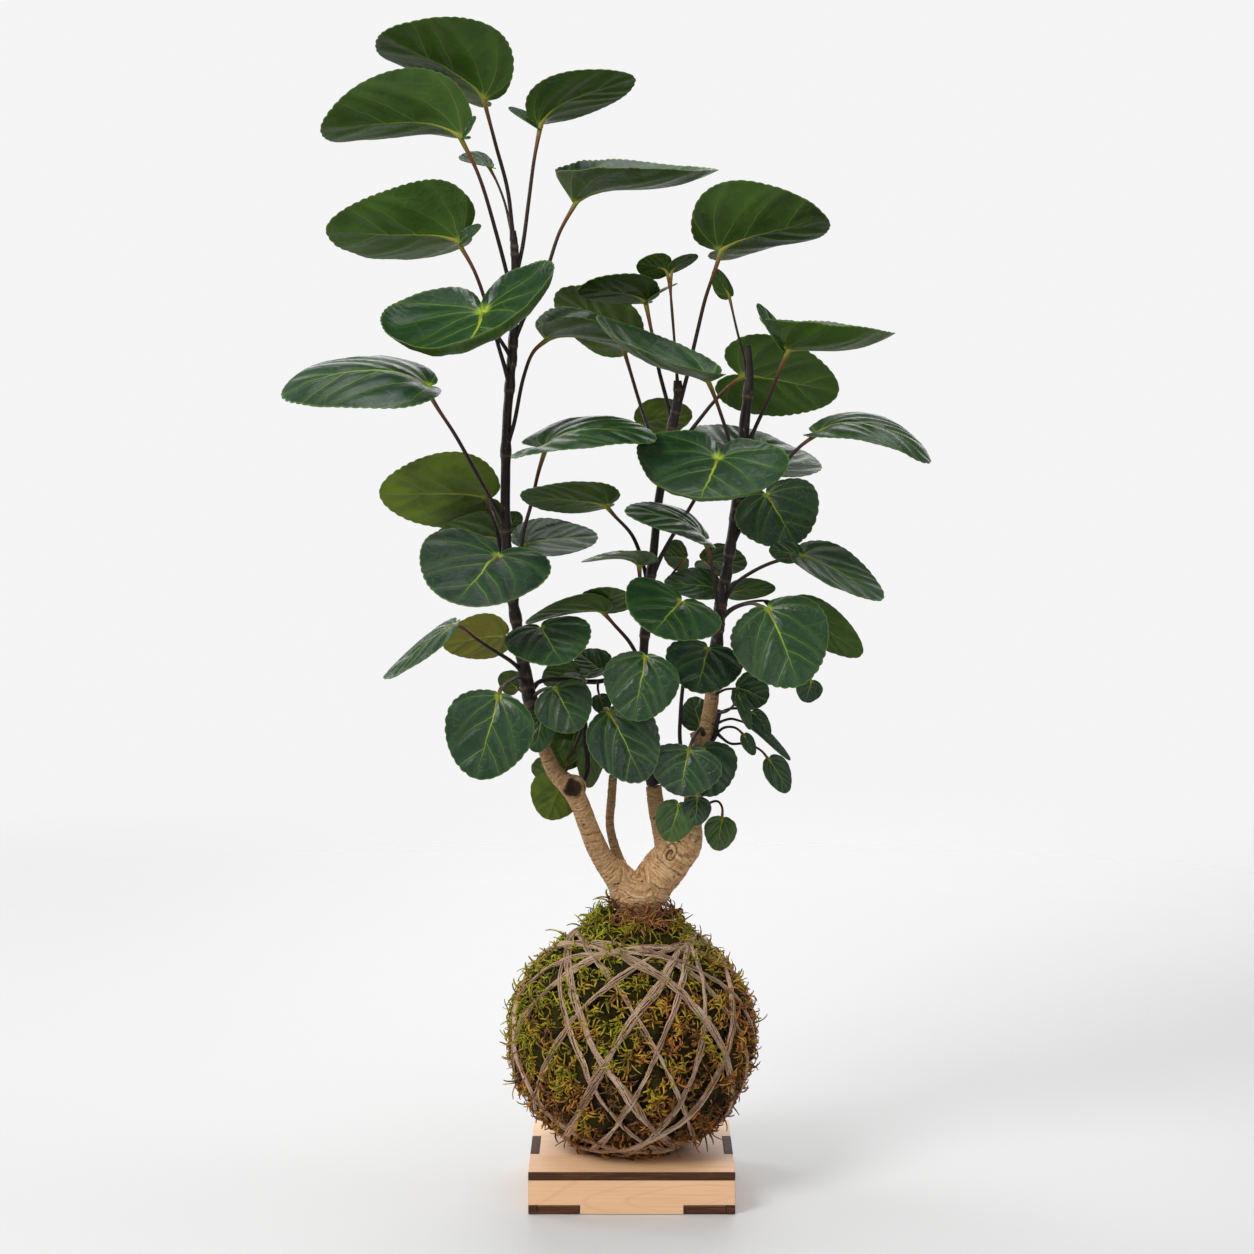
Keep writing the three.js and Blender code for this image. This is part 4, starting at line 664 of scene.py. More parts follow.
def new_group(name, kind, sockets):
    """A node group with its inputs and outputs, given as (name, kind, default), outputs without a default."""
    group = bpy.data.node_groups.new(name, kind + "NodeTree")
    for label, value_kind, *default in sockets:
        side = "INPUT" if default else "OUTPUT"
        socket = group.interface.new_socket(label, in_out=side, socket_type="NodeSocket" + value_kind)
        if default and default[0] is not None:
            socket.default_value = default[0]
    tree = Tree(group)
    return group, tree, tree.add("NodeGroupInput").outputs


# ---------------------------------------------------------------- leaves


def blade_frame(row):
    """Where a blade starts, the directions along, across and off it there, and its midrib's length."""
    joint = np.array(row["joint"], float)
    along = np.array(row["tip"], float) - joint
    chord = np.linalg.norm(along)
    along = along / chord
    up = np.array(row["face"], float)
    up = unit(up - along * up.dot(along))
    half = math.radians(row["bend"]) / 2
    length = chord if abs(half) < 1e-6 else chord * half / math.sin(half)
    tangent = along * math.cos(half) + up * math.sin(half)
    normal = up * math.cos(half) - along * math.sin(half)
    return joint, tangent, np.cross(up, along), normal, length


def on_blade(row, frame_of_blade, flat, lift):
    """Places points of the flat blade on the folded, arched and cupped one, lifted off its mid surface."""
    joint, tangent, across, normal, length = frame_of_blade
    x, y = flat[:, 0], flat[:, 1]
    fold_rate = math.radians(row["fold"]) / (row["wide"] / 2)
    roll = fold_rate * y
    radius = np.hypot(x, y)
    sunk = row["cup"] * length * (1 - np.exp(-radius / (0.2 * length))) * (1 - np.clip(x / length, 0, 1))
    side = np.sin(roll) / fold_rate - lift * np.sin(roll)
    height = (1 - np.cos(roll)) / fold_rate + sunk + lift * np.cos(roll)
    bend_rate = math.radians(row["bend"]) / length
    turn = bend_rate * x
    if abs(bend_rate) < 1e-9:
        forward, rise = x, height
    else:
        forward = np.sin(turn) / bend_rate + height * np.sin(turn)
        rise = (np.cos(turn) - 1) / bend_rate + height * np.cos(turn)
    return joint + forward[:, None] * tangent + side[:, None] * across + rise[:, None] * normal


def smooth_outline(row, length, count):
    """The blade's edge without its teeth, from the tip round to the joint and back, as the part draws it."""
    back, half, egg = row["back"], row["wide"] / 2, row["egg"]
    reach = length * (1 + back) / 2
    middle = length - reach
    turn = math.pi * (1 - (1 - np.linspace(0, 1, count // 2 + 1)) ** 1.25)
    angle = np.concatenate([turn, -turn[-2:0:-1]])
    c, s = np.cos(angle), np.sin(angle)
    a = (c / reach) ** 2 + (s / half) ** 2
    b = -2 * middle * c / reach ** 2
    d = (middle / reach) ** 2 - 1
    ellipse = (-b + np.sqrt(b * b - 4 * a * d)) / (2 * a)
    behind = (math.pi - np.abs(angle)) / math.radians(NOTCH_WIDTH)
    radius = ellipse * (1 - 0.85 * np.exp(-behind * behind))
    x = radius * c
    return np.stack([x, radius * s * (1 - egg * (x - middle) / reach)], axis=1)


def toothed_outline(row, length, seed):
    """The blade's edge with four points to each of its shallow round teeth."""
    smooth = smooth_outline(row, length, 720)
    loop = np.vstack([smooth, smooth[:1]])
    run = run_along(loop)
    teeth = max(8, round(run[-1] / TOOTH_LENGTH))
    step = np.arange(teeth * 4) / 4
    wander = 0.3 * drift(np.stack([step, step * 0, step * 0], axis=1), 2.7, seed)
    wander *= np.minimum(1, np.minimum(step, teeth - step))
    at = (step + wander) / teeth * run[-1]
    points = np.stack([np.interp(at, run, loop[:, 0]), np.interp(at, run, loop[:, 1])], axis=1)
    heading = np.roll(points, -1, axis=0) - np.roll(points, 1, axis=0)
    outward = np.stack([heading[:, 1], -heading[:, 0]], axis=1)
    outward /= np.maximum(np.linalg.norm(outward, axis=1), 1e-6)[:, None]
    deep = TOOTH_DEPTH * min(1.0, row["wide"] / 50)
    deep = deep * (0.7 + 0.5 * drift(np.stack([step, step * 0 + 9, step * 0], axis=1), 3.3, seed))
    calm = np.clip(np.hypot(points[:, 0], points[:, 1]) / (0.25 * length), 0, 1)
    bite = deep * calm * (1 - np.abs(np.sin(math.pi * step)))
    return points - outward * bite[:, None]


def vein_distance(a, b):
    """How far a place on the blade lies from the nearest main vein, in blade lengths."""
    nearest = np.where(a > 0, np.abs(b), np.hypot(a, b))
    for origin, stagger, heading in VEINS:
        along = a - origin - stagger * np.sign(b)
        rho = np.hypot(along, b)
        turn = math.radians(heading) * (1 - VEIN_CURVE * rho)
        nearest = np.minimum(nearest, rho * np.abs(np.arctan2(np.abs(b), along) - turn))
    return nearest


def add_blade(shape, row, seed):
    """The blade: an upper and an under skin in rings of points, joined at its toothed edge."""
    frame_of_blade = blade_frame(row)
    length = frame_of_blade[-1]
    large = row["wide"] >= LARGE_LEAF
    outline = toothed_outline(row, length, seed)
    spokes = len(outline)
    rings = 15 if large else 9
    share = np.sin(np.linspace(0, 1, rings + 1)[1:] * math.pi / 2) ** 0.9
    heart = np.array([HEART * length, 0.0])
    flat = np.vstack([heart[None], *(heart + (outline - heart) * t for t in share)])
    reach = np.concatenate([[0], np.repeat(share, spokes)])

    a = flat[:, 0] / length
    b = 0.55 * flat[:, 1] / (row["wide"] / 2)
    size = min(1.0, length / 60)
    puff = np.clip(vein_distance(a, b) / 0.09, 0, 1)
    puff = size * QUILTING * puff * puff * (3 - 2 * puff) * np.clip((1 - reach) / 0.25, 0, 1)
    spot = np.stack([flat[:, 0], flat[:, 1], 0 * reach], axis=1)
    wave = size * reach ** 2 * (1.6 * drift(spot, 21.0, seed) + 0.5 * drift(spot, 9.0, seed + 5))
    lip = row["lip"] * length * np.clip((reach - 0.72) / 0.28, 0, 1) ** 2
    lip = lip * np.clip(0.6 + a, 0, 1)
    height = puff + wave + lip
    top = on_blade(row, frame_of_blade, flat, height + BLADE_THICKNESS / 2)
    under = on_blade(row, frame_of_blade, flat, height - BLADE_THICKNESS / 2)

    faces, slots = [], []
    low = len(flat)
    for i in range(spokes):
        j = (i + 1) % spokes
        faces.append((0, 1 + i, 1 + j))
        faces.append((low, low + 1 + j, low + 1 + i))
        slots.extend((0, 1))
        for ring in range(rings - 1):
            near, far = 1 + ring * spokes, 1 + (ring + 1) * spokes
            faces.append((near + i, far + i, far + j, near + j))
            faces.append((low + near + i, low + near + j, low + far + j, low + far + i))
            slots.extend((0, 1))
        edge = 1 + (rings - 1) * spokes
        faces.append((edge + i, low + edge + i, low + edge + j, edge + j))
        slots.append(1)
    place = np.stack([a, b, np.full(len(a), seed * 1.37)], axis=1)
    both = np.ones(2 * low)
    shade = float(drift(np.array([[seed, 3, 1]]), 1.7)[0])
    shape.add(
        np.vstack([top, under]), faces, slots, leaf_place=np.vstack([place, place]),
        leaf_rim=np.concatenate([reach, reach]), leaf_lime=both * max(0, row["tone"]),
        leaf_brown=both * max(0, -row["tone"]), leaf_shade=both * shade)


def add_stalk(shape, row):
    """The stalk, then its rib along the blade's underside."""
    if not row["stalk"]:
        return
    frame_of_blade = blade_frame(row)
    length = frame_of_blade[-1]
    large = row["wide"] >= LARGE_LEAF
    radius = STALK_RADIUS if large else FINE_STALK_RADIUS
    rib = np.stack([np.linspace(0.02, 0.34, 5) * length, np.zeros(5)], axis=1)
    rib = on_blade(row, frame_of_blade, rib, np.full(5, -0.1))
    bare = smooth_path([*row["stalk"], rib[0]], 34 if large else 22)
    path = resample(np.vstack([bare, rib[1:]]), 48 if large else 30)
    run = run_along(path)
    bare_run = run_along(bare)[-1]
    along = run / bare_run
    thick = radius * np.interp(along, *STALK_TAPER)
    fade = np.clip((run[-1] - run) / max(run[-1] - bare_run, 1e-6), 0.12, 1)
    sides = 10 if large else 7
    shape.add(
        *tube(path, thick * fade, sides), 2, stalk_run=per_ring(along, sides))


def node_rings(node):
    """Where stalks leave a stem, as shares of its length."""
    path = smooth_path(STEMS[node], 200)
    run = run_along(path)
    places = []
    for row in LEAVES:
        if row["stalk"]:
            gap = np.linalg.norm(path[:, :3] - np.array(row["stalk"][0]), axis=1)
            if gap.min() < JOINT_REACH:
                places.append(run[gap.argmin()])
    return np.array(places)


def add_stem(shape, node, seed):
    """A dark stem that swells a little at each joint, with a scar ring there."""
    path = smooth_path(STEMS[node], 420)
    run = run_along(path)
    scars = node_rings(node)
    gap = (run[:, None] - scars[None]) if len(scars) else np.full((len(run), 1), 99.0)
    swell = np.max(np.exp(-(gap / 4.5) ** 2), axis=1)
    scar = np.max(np.exp(-((gap + 3) / 0.9) ** 2), axis=1)
    sides = 18
    skin = path[:, None, :3] + 3 * rings_round(path[:, :3], sides)
    rough = drift(skin.reshape(-1, 3) * [1, 1, 0.25], 2.6, seed).reshape(len(path), sides)
    thick = path[:, 3] * (0.9 + JOINT_SWELL * swell) + SCAR_RISE * scar
    radii = thick[:, None] + STEM_ROUGHNESS * rough
    at = run / run[-1]
    shape.add(
        *tube(path[:, :3], radii, sides), 2, stalk_run=per_ring(at * 0.35, sides), scar=per_ring(scar, sides))


def leaf_shapes():
    """The node and the shape of each leaf, spray and leafy stem."""
    names = list(dict.fromkeys([row["node"] for row in LEAVES] + list(STEMS)))
    for seat, node in enumerate(names):
        shape = Shape()
        if node in STEMS:
            add_stem(shape, node, seat)
        if node in TWIGS:
            path = smooth_path(TWIGS[node], 60)
            thick = TWIG_RADIUS * (0.95 + 0.12 * drift(path, 3.0, seat))
            shape.add(*tube(path, thick, 10), 2, stalk_run=per_ring(np.full(60, 0.2), 10))
        for index, row in enumerate(LEAVES):
            if row["node"] == node:
                add_blade(shape, row, index)
                add_stalk(shape, row)
        yield node, shape


# ---------------------------------------------------------------- the moss ball


def moss_reach(direction):
    """The moss's outer radius along a direction: lumps, dents under the twine and a rise round the neck."""
    x, y, z = direction.T
    turn = np.arctan2(y, x)
    from_top = np.arccos(np.clip(z, -1, 1))
    tufts = np.sin(11 * turn + 4 * z) * np.cos(9 * from_top + np.sin(5 * turn))
    neck = 1.7 * NECK_RISE * np.exp(-((from_top / math.radians(20)) ** 2))
    lumps = 1.8 * drift(direction * BALL_RADIUS, 14.0, 3) + 1.0 * drift(direction * BALL_RADIUS, 6.0, 4)
    swelling = 0.8 * tufts * (1 - z ** 8)
    return BALL_RADIUS + MOSS_RISE + swelling + neck + lumps - TWINE_DENT * under_twine(direction)


def turn_normals():
    """The normal of each turn's plane, before the ball is flattened. The main turns come first."""
    normals = []
    for index in range(TWINE_TURNS):
        heading = math.degrees(2 * math.pi * (index + 0.3) / TWINE_TURNS) - 90
        normals.append((TWINE_TILT, heading))
    normals.extend(LOOSE_TURNS)
    tilted = []
    for tilt, heading in normals:
        lean, way = math.radians(tilt), math.radians(heading)
        tilted.append((math.sin(lean) * math.cos(way), math.sin(lean) * math.sin(way), math.cos(lean)))
    return np.array(tilted)


def under_twine(direction):
    """1 under a turn of twine, 0 away from it."""
    off = np.abs(direction @ turn_normals().T) * TWINE_RADIUS
    return np.max(np.exp(-((off / DENT_WIDTH) ** 2)), axis=1)


def ball_point(direction, reach):
    """A point so far from the ball's middle, on the ball that is a little flat."""
    return BALL_CENTRE + direction * reach[:, None] * [1, 1, BALL_SQUASH]


def skin_point(direction, reach):
    """A point of the ball. Near the top it moves aside, round the neck, which is off the ball's axis."""
    point = ball_point(direction, reach)
    fall = np.arccos(np.clip(direction[:, 2], -1, 1))
    point[:, 0] += NECK_X * np.clip(1 - fall / NECK_FADE, 0, 1)
    return point


def ring_directions(columns, falls):
    """Unit vectors in rings round the ball, a ring for each angle from its top."""
    way = np.tile(circle(columns), len(falls))
    fall = np.repeat(falls, columns)
    return np.stack([np.sin(fall) * np.cos(way), np.sin(fall) * np.sin(way), np.cos(fall)], axis=1)


def moss_shell(columns=220, rows=150, inner_rows=40):
    """A closed shell: lumpy outside, the neck's hole, smooth inside and the flat place where it rests."""
    outside = ring_directions(columns, np.linspace(SHELL_TOP, SHELL_FOOT, rows))
    inside = ring_directions(columns, np.linspace(SHELL_FOOT, INSIDE_TOP, inner_rows))
    inner = skin_point(inside, np.full(len(inside), SOIL_RADIUS + SOIL_PLAY))
    points = np.vstack([skin_point(outside, moss_reach(outside)), inner])
    points[:, 2] = np.maximum(points[:, 2], MOSS_FLOOR + 0.1)
    shape = Shape()
    shape.add(points, ring_faces(rows + inner_rows, columns, closed=True))
    return shape


def moss_field(columns=160, rows=64):
    """The open skin that moss grows from. growth is how thick it grows, tall how long: less at the back."""
    direction = ring_directions(columns, np.linspace(GROWTH_TOP, GROWTH_FOOT, rows))
    points = skin_point(direction, moss_reach(direction) - 0.4)
    patches = drift(direction * BALL_RADIUS, 17.0, 8)
    growth = np.clip(1 - 0.62 * under_twine(direction) + 0.15 * patches, 0.25, 1.2)
    tall = 1 - 0.5 * np.clip((direction[:, 1] - 0.72) / 0.2, 0, 1)
    shape = Shape()
    shape.add(points, ring_faces(rows, columns), growth=growth, tall=tall)
    return shape


def collar_field(mossy, columns=72, rows=8):
    """The open ring of skin round the trunk's foot. It grows moss at its two sides, or roots in the rest."""
    way = np.tile(circle(columns), rows)
    share = np.repeat(np.linspace(0, 1, rows), columns)
    reach = COLLAR_INNER + COLLAR_WIDTH * share
    beside = np.clip((np.abs(np.cos(way)) - 0.35) / 0.4, 0, 1)
    height = COLLAR_HEIGHT + 4 * beside * (1 - share) - 7.5 * share ** 1.5
    points = np.stack([NECK_X + reach * np.cos(way), reach * np.sin(way), height], axis=1)
    growth = beside if mossy else 1 - 0.75 * beside
    shape = Shape()
    shape.add(points, ring_faces(rows, columns), growth=growth, tall=np.ones(len(points)))
    return shape


def curled_strand(tree, given, turns):
    """A tapering strand of unit length that curls through some turns as it rises."""
    wind = tree.times(given["Curl"], turns)
    bow = tree.math("DIVIDE", 0.2, wind)
    spiral = tree.add("GeometryNodeCurveSpiral", {
        "Resolution": 64, "Rotations": wind, "Start Radius": bow, "End Radius": tree.times(bow, 0.5),
        "Height": 0.15})
    home = tree.add("GeometryNodeTransform", {
        0: spiral, "Translation": tree.combined(tree.times(bow, -1.0)), "Rotation": (-math.pi / 2, 0.0, 0.0)})
    even = tree.add("GeometryNodeResampleCurve", {"Curve": home, "Count": 7})
    along = tree.add("GeometryNodeSplineParameter").outputs["Factor"]
    marked = tree.stored(even, "strand_run", along)
    taper = tree.minus(1.0, tree.times(tree.math("POWER", along, 2.0), 0.55))
    thickness = tree.math("DIVIDE", given["Strand radius"], given["Strand length"])
    profile = tree.add("GeometryNodeCurvePrimitiveCircle", {"Resolution": 3, "Radius": 1.0})
    return tree.add("GeometryNodeCurveToMesh", {
        "Curve": marked, "Profile Curve": profile, "Scale": tree.times(taper, thickness), "Fill Caps": True})


def strand_group():
    """Tufts grown on a skin: a few strands each, of five curled kinds, turned, leaned and sized at random."""
    group, tree, given = new_group("TuftsOnSkin", "Geometry", (
        ("Skin", "Geometry", None),
        ("Tufts per square metre", "Float", 6500.0),
        ("Strands per tuft", "Int", 9),
        ("Tuft width", "Float", 2.5 * MM),
        ("Strand length", "Float", 6 * MM),
        ("Strand radius", "Float", 0.5 * MM),
        ("Length spread", "Float", 0.35),
        ("Lean", "Float", 1.0),
        ("Curl", "Float", 1.0),
        ("Seed", "Int", 1),
        ("Material", "Material", None),
        ("Strands", "Geometry"),
    ))

    def chance(low, high, shift):
        inputs = {2: low, 3: high, "Seed": tree.plus(given["Seed"], shift)}
        return tree.add("FunctionNodeRandomValue", inputs, data_type="FLOAT").outputs[1]

    def turned(rotation, x=0.0, y=0.0, z=0.0):
        inputs = {"Rotation": rotation, "Rotate By": tree.combined(x, y, z)}
        return tree.add("FunctionNodeRotateRotation", inputs, rotation_space="LOCAL")

    kinds = tree.add("GeometryNodeJoinGeometry")
    for turns in STRAND_TURNS:
        strand = curled_strand(tree, given, turns)
        tree.feed(kinds.inputs[0], tree.add("GeometryNodeGeometryToInstance", {0: strand}).outputs[0])

    density = tree.times(tree.named("growth"), given["Tufts per square metre"])
    spots = tree.add(
        "GeometryNodeDistributePointsOnFaces",
        {"Mesh": given["Skin"], "Density": density, "Seed": given["Seed"]}, distribute_method="RANDOM")
    shaded = tree.stored(spots, "tuft_shade", chance(0.0, 1.0, 11))
    raised = tree.stored(shaded, "tuft_up", spots.outputs["Normal"], "FLOAT_VECTOR")
    many = tree.add(
        "GeometryNodeDuplicateElements", {"Geometry": raised, "Amount": given["Strands per tuft"]},
        domain="POINT")
    aside = tree.combined(chance(-0.5, 0.5, 21), chance(-0.5, 0.5, 22), chance(-0.5, 0.5, 23))
    apart = tree.add("GeometryNodeSetPosition", {
        "Geometry": many.outputs["Geometry"], "Offset": tree.scaled(aside, given["Tuft width"])})
    up = tree.named("tuft_up", "FLOAT_VECTOR")
    upright = tree.add("FunctionNodeAlignRotationToVector", {"Vector": up}, axis="Z")
    spin = tree.plus(tree.times(many.outputs["Duplicate Index"], 2.4), chance(0.0, 1.2, 7))
    lean = tree.times(given["Lean"], chance(-1.0, 0.7, 5))
    sideways = tree.times(given["Lean"], chance(-0.45, 0.45, 6))
    leaned = turned(turned(upright, z=spin), sideways, lean)
    longest = tree.times(given["Strand length"], tree.named("tall"))
    size = tree.times(tree.plus(1.0, tree.times(given["Length spread"], chance(-1.0, 1.0, 3))), longest)
    grown = tree.add("GeometryNodeInstanceOnPoints", {
        "Points": apart, "Instance": kinds, "Pick Instance": True, "Rotation": leaned, "Scale": size})
    shade = tree.plus(tree.times(tree.named("tuft_shade"), 0.6), tree.times(chance(0.0, 1.0, 13), 0.4))
    tree.deliver(tree.stored(grown, "strand_shade", shade, domain="INSTANCE"), given["Material"], "Strands")
    return group


def grow(shape, name, group, values):
    """Runs a geometry node group on a shape and keeps what it makes as a plain mesh."""
    piece = shape.build(name, [])
    modifier = piece.modifiers.new("Grow", "NODES")
    modifier.node_group = group
    for item in group.interface.items_tree:
        if item.item_type == "SOCKET" and item.in_out == "INPUT" and item.name in values:
            modifier[item.identifier] = values[item.name]
    bake_modifiers(piece)
    piece.data.polygons.foreach_set("use_smooth", [True] * len(piece.data.polygons))
    return piece


# ---------------------------------------------------------------- twine


def twine_paths(first, last, steps=260):
    """Closed paths for some of the turns, wandering a little over the ball."""
    shape = Shape()
    turn = circle(steps)
    for index, normal in list(enumerate(turn_normals()))[first:last]:
        side = unit(np.cross(normal, (0.0, 0.0, 1.0)))
        up = np.cross(normal, side)
        ring = np.cos(turn)[:, None] * side + np.sin(turn)[:, None] * up
        seed = 40 + index
        wander = sum(far * drift(ring * BALL_RADIUS, reach, seed) for far, reach in TWINE_WANDER)
        ring = ring + normal * wander[:, None]
        ring /= np.linalg.norm(ring, axis=1)[:, None]
        reach = TWINE_RADIUS - 0.8 + 0.6 * drift(ring * BALL_RADIUS, 12.0, seed) + 0.3 * (index % 3)
        points = ball_point(ring, reach)
        points[:, 2] = np.maximum(points[:, 2], MOSS_FLOOR + 1.2)
        edges = [(i, (i + 1) % steps) for i in range(steps)]
        shape.add(points, edges, spread=1.0 + 0.75 * drift(ring * BALL_RADIUS, 16.0, seed + 9), outward=ring)
    return shape


def twine_group():
    """Thin fibres laid side by side along each path, spreading and closing as they go."""
    group, tree, given = new_group("FibresAlongPath", "Geometry", (
        ("Paths", "Geometry", None),
        ("Fibres", "Int", 7),
        ("Fibre radius", "Float", 0.45 * MM),
        ("Bundle width", "Float", 2 * MM),
        ("Bundle height", "Float", 0.6 * MM),
        ("Waviness", "Float", 0.5 * MM),
        ("Seed", "Int", 1),
        ("Material", "Material", None),
        ("Twine", "Geometry"),
    ))
    curves = tree.add("GeometryNodeMeshToCurve", {"Mesh": given["Paths"]})
    many = tree.add(
        "GeometryNodeDuplicateElements", {"Geometry": curves, "Amount": given["Fibres"]}, domain="SPLINE")
    index = many.outputs["Duplicate Index"]
    run = tree.add("GeometryNodeSplineParameter").outputs["Factor"]
    outward = tree.named("outward", "FLOAT_VECTOR")
    across = tree.vectors("CROSS_PRODUCT", outward, tree.add("GeometryNodeInputTangent").outputs[0])
    phase = tree.times(index, GOLDEN_ANGLE)
    turns = tree.times(run, 2 * math.pi * FIBRE_TURNS)
    angle = tree.plus(tree.plus(turns, phase), tree.times(given["Seed"], 0.9))
    wide = tree.times(given["Bundle width"], tree.times(tree.named("spread"), 0.5))
    sideways = tree.scaled(across, tree.times(tree.math("COSINE", angle), wide))
    raised = tree.scaled(outward, tree.times(tree.math("SINE", angle), given["Bundle height"]))
    spot = tree.add("GeometryNodeInputPosition").outputs[0]
    apart = tree.combined(tree.times(index, 0.37), tree.times(index, 0.71))
    noise = tree.noise(tree.vectors("ADD", spot, apart), 120.0, 2.0).outputs["Color"]
    shiver = tree.scaled(tree.vectors("SUBTRACT", noise, (0.5, 0.5, 0.5)), given["Waviness"])
    offset = tree.vectors("ADD", tree.vectors("ADD", sideways, raised), shiver)
    moved = tree.add("GeometryNodeSetPosition", {"Geometry": many.outputs["Geometry"], "Offset": offset})
    fibre = tree.stored(moved, "fibre", index)
    swelling = tree.math("ABSOLUTE", tree.math("SINE", tree.plus(phase, turns)))
    thick = tree.times(given["Fibre radius"], tree.plus(0.75, tree.times(swelling, 0.5)))
    profile = tree.add("GeometryNodeCurvePrimitiveCircle", {"Resolution": 5, "Radius": 1.0})
    body = tree.add("GeometryNodeCurveToMesh", {"Curve": fibre, "Profile Curve": profile, "Scale": thick})
    tree.deliver(body, given["Material"], "Twine")
    return group


# ---------------------------------------------------------------- bark


def limb_run(points):
    """For each point: how far along its nearest limb it lies, how it lies from it, and the limb's number."""
    best = np.full(len(points), 1e9)
    run = np.zeros(len(points))
    round_limb = np.zeros((len(points), 3))
    number = np.zeros(len(points))
    base = 0.0
    for index, limb in enumerate(TRUNK_LIMBS):
        path = smooth_path(limb, 90)
        along = run_along(path)
        gap = points[:, None] - path[None, :, :3]
        away = np.linalg.norm(gap, axis=2) - path[None, :, 3]
        nearest = away.argmin(axis=1)
        rows = np.arange(len(points))
        better = away[rows, nearest] < best
        best[better] = away[rows, nearest][better]
        run[better] = base + along[nearest][better]
        round_limb[better] = gap[rows, nearest][better]
        number[better] = index
        base += 37.0
    return run, round_limb, number


def carve_bark(piece):
    """Presses growth rings, wrinkles, pits, knots and the stub's hollow into the smooth trunk."""
    mesh = piece.data
    count = len(mesh.vertices)
    points = np.empty(count * 3)
    mesh.vertices.foreach_get("co", points)
    points = points.reshape(-1, 3) / MM
    normals = np.empty(count * 3)
    mesh.vertex_normals.foreach_get("vector", normals)
    normals = normals.reshape(-1, 3)
    run, round_limb, number = limb_run(points)
    thick = np.linalg.norm(round_limb, axis=1)
    scale = np.clip(thick / 14, 0.3, 1)
    warp = 2.2 * drift(points, 11.0, 2) + 0.8 * drift(points, 4.0, 3)
    level = np.stack([run + warp, number * 50, 0 * run], axis=1)
    rings = drift(level, 1.7, 5) + 0.7 * drift(level, 0.8, 6)
    lumps = drift(points, 13.0, 7)
    sparse = np.clip(drift(points, 9.0, 10) + 0.25, 0, 1)
    pits = sparse * np.clip(drift(points * [1, 1, 1.5], 1.9, 9) - 0.5, 0, 1)
    bumps = np.clip(drift(points, 2.2, 15) - 0.45, 0, 1)
    height = scale * (RING_RISE * rings + LUMP_RISE * lumps - PIT_DEPTH * pits + BUMP_RISE * bumps)
    knot_field = np.zeros(count)
    for x, y, z, radius, deep in KNOTS:
        gap = points - [x, y, z]
        away = np.linalg.norm(gap, axis=1)
        spin = np.arctan2(gap[:, 2], gap[:, 0])
        away = away * (1 + 0.25 * np.cos(2 * spin + 0.6)) + 0.5 * drift(points, 3.0, 12)
        near = np.exp(-((away / (1.35 * radius)) ** 2))
        swirl = np.cos(away / radius * 12 - spin)
        height = height * (1 - 0.7 * near) + near * (0.1 * radius + 0.45 * swirl * scale)
        knot_field = np.maximum(knot_field, deep * near * (0.5 - 0.5 * swirl) ** 2)
    hollow = np.linalg.norm(points - STUB_HOLLOW, axis=1) * (1 + 0.35 * drift(points, 3.0, 19))
    height -= STUB_HOLLOW_DEPTH * np.exp(-((hollow / (0.72 * STUB_HOLLOW_RADIUS)) ** 2))
    moved = points + normals * height[:, None]
    mesh.vertices.foreach_set("co", (moved * MM).ravel())
    turned = round_limb / np.maximum(thick, 0.5)[:, None]
    turned = np.stack([turned[:, 0], turned[:, 1], (run + warp) * 0.05], axis=1)
    # bark_dark holds the knots' own darker wood, and painted shade in the carved pits and the stub's hollow.
    dark = np.clip(pits * 3 + 0.9 * knot_field + 1.5 * np.exp(-((hollow / STUB_HOLLOW_RADIUS) ** 2)), 0, 1)
    for key, value in (
            ("bark_place", turned), ("bark_run", run + warp), ("bark_dark", dark), ("bark_thick", thick)):
        store(mesh, key, [(0, value)], count)
    mesh.update()


def build_trunk(cell):
    """The trunk: round limbs joined into one skin of small cells, smoothed and carved."""
    shape = Shape()
    for limb in TRUNK_LIMBS:
        path = smooth_path(limb, 80)
        shape.add(*tube(path[:, :3], path[:, 3], 28))
    piece = shape.build("ringed_bark_trunk", [material("ringed_bark")])
    remesh = piece.modifiers.new("Join", "REMESH")
    remesh.mode = "VOXEL"
    remesh.voxel_size = cell
    smooth = piece.modifiers.new("Blend", "SMOOTH")
    smooth.factor = 0.5
    smooth.iterations = 8
    bake_modifiers(piece)
    carve_bark(piece)
    piece.data.materials.clear()
    piece.data.materials.append(material("ringed_bark"))
    smooth_faces(piece.data)
    return piece


# ---------------------------------------------------------------- the stand


def maple_board(node, bevel):
    """A copy of one board of the part, with its facets merged and its edges just broken."""
    broad = 2 if "plate" in node else 1 if "front" in node or "back" in node else 0
    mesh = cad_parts[node].data.copy()
    shape = bmesh.new()
    shape.from_mesh(mesh)
    bmesh.ops.remove_doubles(shape, verts=shape.verts, dist=0.01 * MM)
    bmesh.ops.dissolve_limit(shape, angle_limit=math.radians(1), verts=shape.verts, edges=shape.edges)
    bmesh.ops.bevel(shape, geom=list(shape.edges), offset=bevel, segments=2, affect="EDGES")
    mesh.materials.clear()
    mesh.materials.append(material("maple_along_y" if broad == 0 else "maple_along_x"))
    mesh.materials.append(material("burnt_edge"))
    for face in shape.faces:
        face.material_index = 0 if abs(face.normal[broad]) > 0.7 else 1
        face.smooth = False
    shape.to_mesh(mesh)
    shape.free()
    piece = bpy.data.objects.new(node.replace("base", "maple"), mesh)
    bpy.context.scene.collection.objects.link(piece)
    return piece


# ---------------------------------------------------------------- looks


